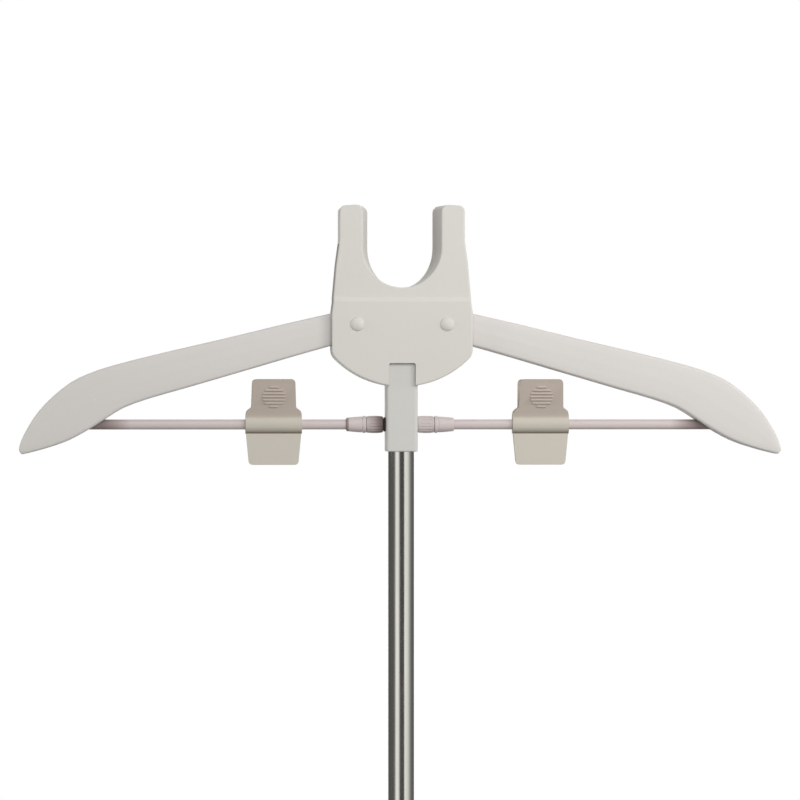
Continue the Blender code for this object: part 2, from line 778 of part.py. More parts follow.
def arm(name, side):
    sections = []
    for top, bottom in arm_edges():
        sections.append(arm_section(top, bottom, side, 0, ARM_FRONT_Y, ARM_BACK_Y))
    pivot = Vector((side * PIVOT_X, 0, PIVOT_Z))
    thing = node(name, loft(sections), ARM_PLASTIC, pivot)
    start = pivot + Vector((0, ARM_FRONT_Y - CUT_OVERRUN, 0))
    end = pivot + Vector((0, ARM_BACK_Y + CUT_OVERRUN, 0))
    cut(thing, rod(start, end, RIVET_DIAMETER + 2 * RUNNING_GAP, SMALL_SIDES))
    hollow_start = PIVOT_X + ARM_LENGTH * ARM_HOLLOW_START_SHARE
    hollow_end = PIVOT_X + ARM_LENGTH * ARM_HOLLOW_END_SHARE
    rib = SADDLE_RIB_THICKNESS / 2
    cut(thing, arm_hollow(side, hollow_start, SADDLE_RIB_X - rib))
    cut(thing, arm_hollow(side, SADDLE_RIB_X + rib, hollow_end))
    half = BAR_DIAMETER / 2 + RUNNING_GAP
    reach = BAR_SLOT_LENGTH / 2
    low = (side * (SADDLE_RIB_X - reach), -half, PIVOT_Z - ARM_DROP - CUT_OVERRUN)
    high = (side * (SADDLE_RIB_X + reach), half, BAR_Z + half)
    cut(thing, box(low, high))


# Stem and pole


def stem():
    half = STEM_WIDTH / 2
    top = BAR_Z + STEM_ABOVE_BARS
    foot = BAR_Z - STEM_BELOW_BARS

    def loop(inset, z):
        corners = [
            Vector((half - inset, STEM_FRONT_Y + inset)),
            Vector((half - inset, STEM_BACK_Y - inset)),
            Vector((inset - half, STEM_BACK_Y - inset)),
            Vector((inset - half, STEM_FRONT_Y + inset)),
        ]
        points = []
        for i, corner in enumerate(corners):
            points += fillet(corners[i - 1], corner, corners[(i + 1) % 4], STEM_CORNER - inset)
        return [Vector((p.x, p.y, z)) for p in points]

    loops = [loop(STEM_FOOT_ROUND * i, foot + STEM_FOOT_ROUND * b) for i, b in ROUND_SHARES]
    thing = node("stem", loft(loops + [loop(0, top)]), STEM_PLASTIC)
    bore_end = foot + POLE_IN_STEM + CUT_OVERRUN
    bore = POLE_DIAMETER + 2 * RUNNING_GAP
    cut(thing, rod((0, 0, foot - CUT_OVERRUN), (0, 0, bore_end), bore, POLE_SIDES))
    hole = STUD_DIAMETER + 2 * RUNNING_GAP
    reach = half + CUT_OVERRUN
    cut(thing, rod((-reach, 0, BAR_Z), (reach, 0, BAR_Z), hole, BAR_SIDES))
    pilots = []
    for x, z in stem_screw_places():
        start = (x, STEM_BACK_Y + CUT_OVERRUN, z)
        end = (x, REAR_Y - SCREW_LENGTH - CUT_OVERRUN, z)
        pilots.append(rod(start, end, SCREW_SHANK_DIAMETER + RUNNING_GAP, SMALL_SIDES))
    cut(thing, joined(pilots))


def pole_tube():
    outer = POLE_DIAMETER / 2
    inner = outer - POLE_WALL
    start = PLUG_FLANGE + SEAT_GAP
    end = POLE_BELOW_STEM + POLE_IN_STEM
    profile = [(start, inner), (start, outer), (end, outer), (end, inner)]
    body = turned(profile, POLE_SIDES, (0, 0, 1), (0, 0, 0), bored=True)
    thing = node("pole_tube", body, POLE_STEEL)
    reach = outer + CUT_OVERRUN
    hole = STUD_DIAMETER + 2 * RUNNING_GAP
    cut(thing, rod((-reach, 0, BAR_Z), (reach, 0, BAR_Z), hole, BAR_SIDES))


def pole_end_plug():
    flange = POLE_DIAMETER / 2
    spigot = flange - POLE_WALL - RUNNING_GAP
    end = PLUG_FLANGE + PLUG_SPIGOT
    profile = [
        (0, flange - PLUG_CHAMFER),
        (PLUG_CHAMFER, flange),
        (PLUG_FLANGE, flange),
        (PLUG_FLANGE, spigot),
        (end - PLUG_CHAMFER, spigot),
        (end, spigot - PLUG_CHAMFER),
    ]
    node("pole_end_plug", turned(profile, POLE_SIDES, (0, 0, 1), (0, 0, 0)), PLUG_PLASTIC)


def cross_stud():
    body = rod((-STUD_END_X, 0, BAR_Z), (STUD_END_X, 0, BAR_Z), STUD_DIAMETER, BAR_SIDES)
    node("cross_stud", body, ZINC_STEEL)


# Bars and their couplings


def nut_start(neck):
    return STEM_WIDTH / 2 + neck


def nut_profile():
    outer = NUT_DIAMETER / 2
    thread = STUD_DIAMETER / 2 + RUNNING_GAP
    pocket = SPIGOT_DIAMETER / 2 + RUNNING_GAP
    pocket_start = NUT_LENGTH - SPIGOT_LENGTH - RUNNING_GAP
    return [
        (0, thread),
        (0, outer - NUT_CHAMFER),
        (NUT_CHAMFER, outer),
        (NUT_LENGTH - NUT_CHAMFER, outer),
        (NUT_LENGTH, outer - NUT_CHAMFER),
        (NUT_LENGTH, pocket),
        (pocket_start, pocket),
        (pocket_start, thread),
    ]


def fluted(radius, angle):
    """Full radius inside, and a shallow flute between each two ribs outside."""
    if radius < NUT_DIAMETER / 2 * FLUTE_RIM_SHARE:
        return radius
    return radius - NUT_FLUTE_DEPTH * (1 - math.cos(NUT_FLUTES * angle)) / 2


def bar_nut(name, side, neck):
    at = Vector((side * nut_start(neck), 0, BAR_Z))
    body = turned(nut_profile(), SIDES_PER_FLUTE * NUT_FLUTES, (side, 0, 0), at, True, fluted)
    node(name, body, NUT_PLASTIC, Vector((0, 0, BAR_Z)))


def neck_washer(name, side, neck):
    """A rubber washer on the stud, between the stem and the nut that is turned further out."""
    bore = STUD_DIAMETER / 2 + RUNNING_GAP
    outer = NECK_WASHER_DIAMETER / 2
    end = neck - RUNNING_GAP
    profile = [(SEAT_GAP, bore), (SEAT_GAP, outer), (end, outer), (end, bore)]
    at = Vector((side * STEM_WIDTH / 2, 0, BAR_Z))
    node(name, turned(profile, SLEEVE_SIDES, (side, 0, 0), at, True), WASHER_RUBBER)


def bar_sleeve(name, side, neck):
    spigot = SPIGOT_DIAMETER / 2
    collar = SLEEVE_COLLAR_DIAMETER / 2
    root = SLEEVE_ROOT_DIAMETER / 2
    tip = SLEEVE_TIP_DIAMETER / 2
    profile = [
        (-SPIGOT_LENGTH, BORE_RADIUS),
        (-SPIGOT_LENGTH, spigot),
        (SEAT_GAP, spigot),
        (SEAT_GAP, collar),
        (SLEEVE_COLLAR, collar),
        (SLEEVE_COLLAR, root),
        (SLEEVE_LENGTH - CLIP_EDGE_ROUND, tip),
        (SLEEVE_LENGTH, tip - CLIP_EDGE_ROUND),
        (SLEEVE_LENGTH, BORE_RADIUS),
    ]
    at = Vector((side * (nut_start(neck) + NUT_LENGTH), 0, BAR_Z))
    node(name, turned(profile, SLEEVE_SIDES, (side, 0, 0), at, True), BAR_ENAMEL)


def bar(name, side, neck):
    outer = BAR_DIAMETER / 2
    inner = outer - BAR_WALL
    start = nut_start(neck) + NUT_LENGTH - BAR_IN_NUT
    profile = [(start, inner), (start, outer), (BAR_END_X, outer), (BAR_END_X, inner)]
    body = turned(profile, BAR_SIDES, (side, 0, 0), (0, 0, BAR_Z), bored=True)
    node(name, body, BAR_ENAMEL)


def bar_cap(name, side):
    outer = BAR_DIAMETER / 2
    spigot = outer - BAR_WALL - RUNNING_GAP
    profile = [
        (-CAP_SPIGOT_LENGTH, spigot),
        (SEAT_GAP, spigot),
        (SEAT_GAP, outer),
        (CAP_THICKNESS / 2, outer),
        (CAP_THICKNESS, spigot),
    ]
    at = Vector((side * BAR_END_X, 0, BAR_Z))
    node(name, turned(profile, BAR_SIDES, (side, 0, 0), at), NUT_PLASTIC)


# Clips. Each jaw is built facing the front, and the rear one is turned to face the back


def clip_point(clip_x, facing, x, y, z):
    """A point of a clip's own frame, with -Y towards the jaw's outer face."""
    return Vector((clip_x + x, facing * y, BAR_Z + z))


def drawn_in(outline, inset):
    """A convex-cornered outline moved inwards by a small inset, point by point."""
    count = len(outline)
    points = []
    for i, point in enumerate(outline):
        way = (outline[(i + 1) % count] - outline[i - 1]).normalized()
        points.append(point + Vector((-way.y, way.x)) * inset)
    return points


def sheet(outline, place, thickness):
    """A sheet from its outline, run anticlockwise, and a function that places (x, up, depth)."""
    loops = []
    for share, setback in ROUND_SHARES:
        inner = drawn_in(outline, CLIP_EDGE_ROUND * share)
        loops.append([place(p.x, p.y, CLIP_EDGE_ROUND * setback) for p in inner])
    for share, setback in reversed(ROUND_SHARES):
        inner = drawn_in(outline, CLIP_EDGE_ROUND * share)
        loops.append([place(p.x, p.y, thickness - CLIP_EDGE_ROUND * setback) for p in inner])
    return loft(loops)


def tab_outline():
    """The thumb tab from its shoulder up to its rounded top, in its own plane."""
    spread = ROLL_HALF_WIDTH - TAB_FOOT_HALF_WIDTH
    half = []
    for height_share, spread_share in SHOULDER_SHARES:
        across = TAB_FOOT_HALF_WIDTH + spread * spread_share
        half.append(Vector((across, SHOULDER_HEIGHT * height_share)))
    top = Vector((TAB_TOP_HALF_WIDTH, TAB_LENGTH))
    half += fillet(half[-1], top, Vector((0, TAB_LENGTH)), CLIP_CORNER)
    return half + [Vector((-p.x, p.y)) for p in reversed(half)]


def jaw_outline():
    """The jaw plate from its root down to its rounded foot, as depth below the root."""
    root = Vector((JAW_TOP_HALF_WIDTH, 0))
    foot = Vector((JAW_FOOT_HALF_WIDTH, -JAW_LENGTH))
    half = [root] + fillet(root, foot, Vector((0, -JAW_LENGTH)), CLIP_CORNER)
    half.reverse()
    return [Vector((-p.x, p.y)) for p in reversed(half)] + half


def tab_axes():
    lean = math.radians(TAB_LEAN_DEGREES)
    up = Vector((-math.sin(lean), math.cos(lean)))
    inward = Vector((math.cos(lean), math.sin(lean)))
    return up, inward


def tab_place(clip_x, facing, start):
    """Places points of the tab's plane. Depth starts at the tab's outer face plus the start."""
    up, inward = tab_axes()

    def place(x, height, depth):
        side_step = inward * (start + depth - CLIP_SHEET / 2)
        at = Vector((TAB_ROOT_Y, TAB_ROOT_Z)) + up * height + side_step
        return clip_point(clip_x, facing, x, at.x, at.y)

    return place


def roll_body(clip_x, facing):
    """The part of the roll that goes round the bar on this jaw's side."""
    foot = -math.radians(ROLL_FOOT_DEGREES)
    top = math.radians(ROLL_TOP_DEGREES)
    outer = ROLL_DIAMETER / 2
    loops = []
    for x, inset in (
        (-ROLL_HALF_WIDTH, CLIP_EDGE_ROUND),
        (CLIP_EDGE_ROUND - ROLL_HALF_WIDTH, 0),
        (ROLL_HALF_WIDTH - CLIP_EDGE_ROUND, 0),
        (ROLL_HALF_WIDTH, CLIP_EDGE_ROUND),
    ):
        loop = []
        for k in range(ROLL_STEPS + 1):
            angle = foot + (top - foot) * k / ROLL_STEPS
            radius = outer - inset
            y = -radius * math.cos(angle)
            loop.append(clip_point(clip_x, facing, x, y, radius * math.sin(angle)))
        for k in range(ROLL_STEPS + 1):
            angle = top + (foot - top) * k / ROLL_STEPS
            y = -BORE_RADIUS * math.cos(angle)
            loop.append(clip_point(clip_x, facing, x, y, BORE_RADIUS * math.sin(angle)))
        loops.append(loop)
    return loft(loops)


def grip_ridges(clip_x, facing):
    """Short ridges across the tab, their ends on a circle."""
    place = tab_place(clip_x, facing, 0)
    bodies = []
    middle = (GRIP_RIDGES - 1) / 2
    root = GRIP_RIDGE_WIDTH / 2 + CLIP_EDGE_ROUND / 2
    for k in range(GRIP_RIDGES):
        rise = (k - middle) * GRIP_PITCH
        half = math.sqrt(GRIP_RADIUS**2 - rise**2)
        height = GRIP_ABOVE_TAB_ROOT + rise
        crest = GRIP_RIDGE_WIDTH / 2 * CREST_SHARE
        loops = []
        for x in (-half, half):
            loops.append(
                [
                    place(x, height - root, CLIP_EDGE_ROUND),
                    place(x, height + root, CLIP_EDGE_ROUND),
                    place(x, height + crest, -GRIP_RIDGE_HEIGHT),
                    place(x, height - crest, -GRIP_RIDGE_HEIGHT),
                ]
            )
        bodies.append(loft(loops))
    return joined(bodies)


def jaw(name, clip_x, facing):
    """A jaw in one sheet: thumb tab, its half of the roll, and the gripping plate below."""

    def place_plate(x, height, depth):
        return clip_point(clip_x, facing, x, JAW_FRONT_Y + depth, JAW_TOP_Z + height)

    tab = sheet(tab_outline(), tab_place(clip_x, facing, 0), CLIP_SHEET)
    thing = node(name, tab, CLIP_PLASTIC, Vector((clip_x, 0, BAR_Z)))
    add(thing, roll_body(clip_x, facing))
    add(thing, sheet(jaw_outline(), place_plate, CLIP_SHEET))
    relief = ROLL_DIAMETER - 2 * RELIEF_WALL
    start = (clip_x - RELIEF_HALF_WIDTH, 0, BAR_Z)
    end = (clip_x + RELIEF_HALF_WIDTH, 0, BAR_Z)
    cut(thing, rod(start, end, relief, BAR_SIDES))
    add(thing, grip_ridges(clip_x, facing))


def jaw_pad(name, clip_x, facing):
    half = PAD_HALF_WIDTH
    foot = JAW_TOP_Z - JAW_LENGTH + PAD_ABOVE_JAW_FOOT
    corners = rectangle(-half, half, foot, foot + PAD_HEIGHT)
    outline = []
    for i, corner in enumerate(corners):
        outline += fillet(corners[i - 1], corner, corners[(i + 1) % 4], PAD_CORNER)
    back_y = JAW_FRONT_Y + CLIP_SHEET + SEAT_GAP

    def place(x, height, depth):
        return clip_point(clip_x, facing, x, back_y + depth, height)

    node(name, sheet(outline, place, PAD_THICKNESS), PAD_RUBBER)


def clip_bush(name, clip_x):
    outer = BORE_RADIUS + BUSH_WALL
    profile = [
        (0, BORE_RADIUS),
        (0, outer),
        (BUSH_LENGTH, outer),
        (BUSH_LENGTH, BORE_RADIUS),
    ]
    at = Vector((clip_x - RELIEF_HALF_WIDTH + RUNNING_GAP, 0, BAR_Z))
    body = turned(profile, BAR_SIDES, (1, 0, 0), at, True)
    node(name, body, NUT_PLASTIC, Vector((clip_x, 0, BAR_Z)))


def spring_points(clip_x):
    """The wire from the front leg's tip, round the bar and up to the rear leg's tip."""
    up, inward = tab_axes()
    wire = SPRING_WIRE / 2
    radius = BORE_RADIUS + wire
    root = Vector((TAB_ROOT_Y, TAB_ROOT_Z)) + inward * (CLIP_SHEET / 2 + SPRING_LEG_FROM_TAB)
    start_x = clip_x - RELIEF_HALF_WIDTH + 2 * RUNNING_GAP + BUSH_LENGTH + SPRING_WIRE + wire
    tip = root + up * SPRING_LEG_LENGTH
    in_share, up_share = KNEE_SHARES
    knee = Vector((root.x * in_share, radius + (root.y - radius) * up_share))
    leg = [tip, root, knee]
    points = [Vector((start_x, p.x, BAR_Z + p.y)) for p in leg]
    steps = SPRING_TURNS * COIL_POINTS
    for k in range(steps + 1):
        turn = 2 * math.pi * k / COIL_POINTS
        x = start_x + SPRING_PITCH * k / COIL_POINTS
        points.append(Vector((x, radius * math.sin(turn), BAR_Z + radius * math.cos(turn))))
    end_x = start_x + SPRING_PITCH * SPRING_TURNS
    points += [Vector((end_x, -p.x, BAR_Z + p.y)) for p in reversed(leg)]
    return points


def least_gap(points, diameter):
    """The least gap of a tube to itself, leaving out stretches that run on from each other."""
    found = math.inf
    for i, point in enumerate(points):
        for other in points[i + COIL_POINTS // 2 + 1 :]:
            found = min(found, (point - other).length - diameter)
    return found


def clip_spring(name, clip_x):
    points = spring_points(clip_x)
    print(f"{name}: least gap to itself {least_gap(points, SPRING_WIRE) * 1000:.2f} mm")
    curve = bpy.data.curves.new(name, "CURVE")
    curve.dimensions = "3D"
    curve.bevel_depth = SPRING_WIRE / 2
    curve.bevel_resolution = 1
    curve.use_fill_caps = True
    spline = curve.splines.new("POLY")
    spline.points.add(len(points) - 1)
    origin = Vector((clip_x, 0, BAR_Z))
    for place, point in zip(spline.points, points):
        place.co = (*(point - origin), 1)
    thing = bpy.data.objects.new(name, curve)
    thing.location = origin
    bpy.context.scene.collection.objects.link(thing)
    curve.materials.append(finish_material(name, *SPRING_STEEL))


def clip(side_name, clip_x):
    clip_bush(side_name + "_clip_bush", clip_x)
    clip_spring(side_name + "_clip_spring", clip_x)
    jaw(side_name + "_clip_front_jaw", clip_x, 1)
    jaw(side_name + "_clip_rear_jaw", clip_x, -1)
    jaw_pad(side_name + "_clip_front_pad", clip_x, 1)
    jaw_pad(side_name + "_clip_rear_pad", clip_x, -1)


def build():
    clear_scene()
    head_front_cover()
    head_rear_cover()
    for number, (x, z) in enumerate(head_screw_places(), 1):
        screw(f"head_screw_{number}", x, z)
    for number, (x, z) in enumerate(stem_screw_places(), 1):
        screw(f"stem_screw_{number}", x, z)
    stem()
    pole_tube()
    pole_end_plug()
    cross_stud()
    for name, side, neck in (("left", -1, LEFT_NECK), ("right", 1, RIGHT_NECK)):
        rivet(name + "_pivot_rivet", side)
        pivot_washer(name + "_pivot_washer", side)
        arm(name + "_arm", side)
        bar_nut(name + "_bar_nut", side, neck)
        bar_sleeve(name + "_bar_sleeve", side, neck)
        bar(name + "_bar", side, neck)
        bar_cap(name + "_bar_cap", side)
    neck_washer("left_neck_washer", -1, LEFT_NECK)
    clip("left", -LEFT_CLIP_X)
    clip("right", RIGHT_CLIP_X)


build()
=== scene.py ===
import json
import math

import bpy
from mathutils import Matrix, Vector
from mathutils.geometry import interpolate_bezier

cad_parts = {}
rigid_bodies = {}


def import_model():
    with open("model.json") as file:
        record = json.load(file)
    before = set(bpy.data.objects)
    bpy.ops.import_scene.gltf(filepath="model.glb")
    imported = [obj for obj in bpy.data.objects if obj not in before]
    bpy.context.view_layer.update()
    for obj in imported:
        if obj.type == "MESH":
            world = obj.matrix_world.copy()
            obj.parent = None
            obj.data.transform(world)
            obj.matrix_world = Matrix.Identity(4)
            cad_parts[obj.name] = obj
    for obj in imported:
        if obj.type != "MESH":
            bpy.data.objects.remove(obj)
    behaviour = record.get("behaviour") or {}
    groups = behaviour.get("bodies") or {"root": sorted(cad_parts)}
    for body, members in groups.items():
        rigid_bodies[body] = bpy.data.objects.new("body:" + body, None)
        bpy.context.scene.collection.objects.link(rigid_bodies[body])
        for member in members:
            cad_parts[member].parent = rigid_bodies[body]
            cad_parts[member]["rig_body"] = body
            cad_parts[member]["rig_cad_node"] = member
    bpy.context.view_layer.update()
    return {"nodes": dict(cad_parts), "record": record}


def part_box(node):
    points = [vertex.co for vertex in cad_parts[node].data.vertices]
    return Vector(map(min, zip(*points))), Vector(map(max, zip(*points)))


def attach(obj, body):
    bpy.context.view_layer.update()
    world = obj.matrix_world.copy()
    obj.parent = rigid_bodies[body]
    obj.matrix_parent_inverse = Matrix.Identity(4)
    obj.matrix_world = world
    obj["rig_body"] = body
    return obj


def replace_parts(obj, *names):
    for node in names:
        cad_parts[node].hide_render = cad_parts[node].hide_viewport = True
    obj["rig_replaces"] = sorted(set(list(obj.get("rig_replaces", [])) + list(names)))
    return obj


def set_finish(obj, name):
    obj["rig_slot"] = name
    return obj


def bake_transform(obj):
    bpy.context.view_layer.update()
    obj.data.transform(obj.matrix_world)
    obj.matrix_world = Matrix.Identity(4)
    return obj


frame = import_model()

SIDES = (("left", -1), ("right", 1))

# Lengths are in metres. The front of the hanger faces -Y.

# Camera
VIEW_X = -0.0006
VIEW_Z = 0.3697
VIEW_WIDTH = 0.4618
VIEW_FROM_LEFT = math.radians(3.5)
LENS = 200
SENSOR = 36
NEAREST_SEEN = 0.01

# Studio. A softbox has its place, its side and its power.
ROOM_LIGHT = 0.475
ROOM_LIGHT_ABOVE = ROOM_LIGHT * 0.3
SOFTBOX_AIM = (0, 0, 0.40)
SOFTBOX_WHITE = (1.0, 0.997, 0.99)
SOFTBOXES = {
    "front_softbox": ((0.09, -0.74, 0.68), 0.45, 2.5),
    "key_softbox": ((0.64, -0.64, 0.70), 0.4, 2.85),
    "left_softbox": ((-1.30, -0.15, 0.50), 0.8, 4.3),
    "right_softbox": ((1.30, -0.10, 0.50), 0.8, 2.9),
    "back_softbox": ((0.5, 1.2, 0.9), 1.0, 7.0),
}
TENT_RADIUS = 3.4
TENT_HEIGHT = 4.0
CARD_WARMTH = 0.97
# Degrees round from the camera's side, minus to the left, and how bright the cards are there
CARD_STRIPS = (
    (-180, 0.30),
    (-176, 1.20),
    (-163, 1.10),
    (-158, 0.12),
    (-75, 0.16),
    (-61, 0.30),
    (-48, 1.40),
    (-27, 1.30),
    (-12, 0.12),
    (12, 0.10),
    (24, 0.14),
    (27, 1.40),
    (58, 1.15),
    (82, 0.45),
    (100, 0.22),
    (157, 0.12),
    (162, 0.90),
    (174, 0.90),
    (180, 0.30),
)
FLOOR_RADIUS = 0.42
FLOOR_Z = -0.0004
FLOOR_COLOUR = (0.9, 0.9, 0.89, 1)
FLOOR_ROUGHNESS = 0.7
FLOOR_FADE_START = FLOOR_RADIUS * 0.25
FLOOR_FADE_END = FLOOR_RADIUS * 0.97
FLOOR_LEAST_FADE = 0.45
FLOOR_IN_REFLECTIONS = 0.35

# Fits and shading
RUNNING_GAP = 0.0003
SEAT_GAP = 0.0001
SMOOTH_UP_TO = math.radians(50)

# Pole and stem
BAR_Z = 0.3556
POLE_RADIUS = 0.0075
POLE_WALL = 0.0010
POLE_TOP = 0.392
PLUG_FLANGE = 0.0020
PLUG_LENGTH = 0.0160
PLUG_FACE_RING = 0.003
PLUG_GROOVES = 4
PLUG_GROOVE_START = 0.002
PLUG_GROOVE_PITCH = 0.003
PLUG_GROOVE_DEPTH = 0.0004
STEM_HALF = 0.0090
STEM_FRONT = -0.0115
STEM_BACK = 0.0099
STEM_FOOT = 0.3400
STEM_TOP = 0.4176
STEM_ROUND = 0.0018
STEM_FOOT_ROUND = 0.0008
STEM_BORE_DEPTH = 0.054
STEM_SCREW_DROPS = (0.0160, 0.0060)
STEM_SCREW_HOLE = 0.00155
STEM_SCREW_TIP_Y = -0.0028
STUD_RADIUS = 0.0025
STUD_BORE = STUD_RADIUS + RUNNING_GAP
STUD_HALF = 0.0140
STUD_PITCH = 0.0008
STUD_CHAMFER = 0.0005
STUD_THREAD_START = 0.001
STUD_THREAD_DEPTH = 0.0003
NECKS = {"left": 0.0015, "right": 0.0003}
NECK_WASHER_RADIUS = 0.00415

# Bars and their couplings. The profiles list (distance outwards, radius).
BAR_RADIUS = 0.0029
BAR_WALL = 0.0008
BAR_END = 0.1875
BAR_BORE = BAR_RADIUS - BAR_WALL
BAR_IN_NUT = 0.0035
NUT_LENGTH = 0.0098
NUT_RADIUS = 0.00495
NUT_PROFILE = (
    (0, STUD_BORE),
    (0, NUT_RADIUS - 0.0008),
    (0.0002, NUT_RADIUS - 0.0004),
    (0.0007, NUT_RADIUS - 0.0002),
    (0.0035, NUT_RADIUS),
    (0.0063, NUT_RADIUS),
    (NUT_LENGTH - 0.0007, NUT_RADIUS - 0.0002),
    (NUT_LENGTH - 0.0002, NUT_RADIUS - 0.0004),
    (NUT_LENGTH, NUT_RADIUS - 0.0008),
    (NUT_LENGTH, 0.00395),
    (0.0055, 0.00395),
    (0.0055, STUD_BORE),
)
NUT_FLUTES = 18
FLUTE_RADIUS = 0.0007
FLUTE_DEPTH = 0.0003
FLUTE_MARGIN = 0.0011
BORE_ON_BAR = 0.0032
SLEEVE_LENGTH = 0.0114
SLEEVE_PROFILE = (
    (-0.0040, BORE_ON_BAR),
    (-0.0040, 0.00365),
    (SEAT_GAP, 0.00365),
    (SEAT_GAP, 0.0047),
    (0.0003, 0.0049),
    (0.0018, 0.0049),
    (0.0020, 0.0047),
    (0.0020, 0.0044),
    (0.0024, 0.0044),
    (0.0027, 0.0046),
    (0.0060, 0.00437),
    (0.0090, 0.00410),
    (0.0109, 0.00390),
    (0.0112, 0.00378),
    (SLEEVE_LENGTH, 0.0036),
    (SLEEVE_LENGTH, BORE_ON_BAR),
)
CAP_SPIGOT = BAR_BORE - RUNNING_GAP
CAP_PROFILE = (
    (-0.0080, 0.0010),
    (-0.0078, CAP_SPIGOT - 0.0002),
    (-0.0050, CAP_SPIGOT),
    (SEAT_GAP, CAP_SPIGOT),
    (SEAT_GAP, BAR_RADIUS),
    (0.0006, BAR_RADIUS),
    (0.0010, 0.0022),
    (0.0012, 0.0012),
)

# Head, arms and their fastenings
PIVOT_X = 0.0258
PIVOT_Z = 0.4133
PLATE_Y = -0.0141
REAR_Y = 0.0122
ARM_BACK_Y = 0.0070
COVER_ROUND = 0.00025
ARM_GRID = 0.0006
ARM_SMOOTHING = 5
RIVET_HEAD = 0.0040
RIVET_TAIL = 0.0039
RIVET_SHANK = 0.0025
RIVET_RIM = 0.00025
RIVET_DOME = 0.00175
RIVET_STEPS = 12
PIVOT_WASHER_BORE = 0.0028
PIVOT_WASHER_RADIUS = 0.0057
PIVOT_WASHER_THICKNESS = 0.0010
# A screw's profile lists (distance out from under its head, radius)
SCREW_POINT = ((-0.0130, 0.0004), (-0.0122, 0.0009))
SCREW_THREADS = 13
SCREW_PITCH = 0.0008
SCREW_ROOT = (-0.0118, 0.00105)
SCREW_CREST = (-0.0114, 0.0014)
SCREW_HEAD = (
    (-0.0008, 0.00115),
    (0, 0.00115),
    (0, 0.0028),
    (0.0008, 0.0028),
    (0.0013, 0.0026),
    (0.0016, 0.0021),
    (0.0018, 0.0014),
)
RECESS_LONG = 0.0015
RECESS_SHORT = 0.00035
RECESS_FLOOR = 0.0008

# Clips
CLIP_X = {"left": -0.0736, "right": 0.0807}
ROLL_RADIUS = 0.0053
ROLL_HALF = 0.01625
RELIEF_RADIUS = 0.0046
RELIEF_HALF = 0.0120
SHEET = 0.0015
JAW_FRONT_Y = -0.0025
JAW_BACK_Y = JAW_FRONT_Y + SHEET
JAW_FOOT_Z = -0.0233
JAW_FOOT_HALF = 0.0142
JAW_FOOT_ROUND = 0.0024
JAW_SHOULDER_Z = -0.0053
TAB_LEAN = math.radians(22)
TAB_ROOT = (-0.0027, 0.0034)
TAB_LENGTH = 0.0242
TAB_TOP_HALF = 0.0122
TAB_TOP_ROUND = 0.0026
# Heights up the thumb tab and its half widths there, down at the shoulders
TAB_SHOULDER = (
    (0, 0.01625),
    (0.0020, 0.01614),
    (0.0035, 0.01590),
    (0.0046, 0.01532),
    (0.0056, 0.01435),
    (0.0062, 0.01345),
    (0.0070, 0.01288),
    (0.0082, 0.01276),
)
RIDGES_EACH_WAY = 3
RIDGE_PITCH = 0.0020
RIDGE_PATCH = 0.0065
RIDGE_MIDDLE = 0.0139
# A grip ridge from its side: up the tab, and into it
RIDGE_SECTION = (
    (-0.0005, 0.0002),
    (-0.00045, -0.0005),
    (-0.0002, -0.00075),
    (0.0002, -0.00075),
    (0.0005, -0.0004),
    (0.0007, 0.0002),
)
TRIM_DEPTH = 0.040
PAD_HALF = 0.0115
PAD_FOOT_Z = JAW_FOOT_Z + 0.0018
PAD_TOP_Z = JAW_FOOT_Z + 0.0123
PAD_ROUND = 0.0016
PAD_THICKNESS = 0.0007
PAD_GROOVES = 5
PAD_GROOVE_START = 0.00165
PAD_GROOVE_PITCH = 0.0018
PAD_GROOVE_RADIUS = 0.0004
PAD_GROOVE_CENTRE = 0.00085
PAD_GROOVE_HALF = 0.013
BUSH_RADIUS = 0.0040
BUSH_LENGTH = 0.0085
SPRING_WIRE = 0.00035
SPRING_TURNS = 5
SPRING_STEPS = 28
SPRING_LEG = 0.0108
SPRING_OFF_TAB = 0.00065
SPRING_LENGTH = 0.00625
SPRING_START = -RELIEF_HALF + 2 * RUNNING_GAP + BUSH_LENGTH + 3 * SPRING_WIRE

# Finishes: name, colour, the shade in its clouds or lines, roughness and depth of its grain
MOULDED_FINISHES = {
    "head_plastic": ("white_head_plastic", (0.71, 0.685, 0.645), (0.66, 0.63, 0.585), 0.46, 0.25),
    "arm_plastic": ("white_arm_plastic", (0.725, 0.697, 0.67), (0.68, 0.65, 0.617), 0.46, 0.25),
    "stem_plastic": ("white_stem_plastic", (0.668, 0.656, 0.625), (0.625, 0.611, 0.58), 0.42, 0.2),
    "nut_plastic": ("grey_nut_plastic", (0.62, 0.55, 0.53), (0.54, 0.48, 0.46), 0.38, 0.3),
    # The left nut's colour, darkened as painted shadow of the stem
    "nut_in_painted_shadow": ("nut_plastic_painted_stem_shadow", (0.58, 0.51, 0.49), (0.48, 0.42, 0.40), 0.36, 0.3),
    # Clip plastic, with painted shade under the roll laid over it
    "clip_plastic": (
        "clip_plastic_shade_and_tab_tint",
        (0.635, 0.593, 0.52),
        (0.575, 0.535, 0.468),
        0.36,
        0.3,
    ),
    # Left and right enamel differ only in the shade painted near their ends
    "left_bar_enamel": (
        "left_bar_enamel",
        (0.683, 0.602, 0.592),
        (0.623, 0.547, 0.535),
        0.34,
        0.15,
    ),
    "right_bar_enamel": (
        "right_bar_enamel",
        (0.683, 0.602, 0.592),
        (0.623, 0.547, 0.535),
        0.34,
        0.15,
    ),
    "pad_rubber": ("grey_pad_rubber", (0.30, 0.28, 0.26), (0.22, 0.21, 0.20), 0.75, 0.5),
    "plug_plastic": ("black_plug_plastic", (0.045, 0.045, 0.045), (0.03, 0.03, 0.03), 0.55, 0.3),
    "washer_rubber": (
        "black_washer_rubber",
        (0.042, 0.028, 0.026),
        (0.030, 0.021, 0.020),
        0.6,
        0.3,
    ),
}
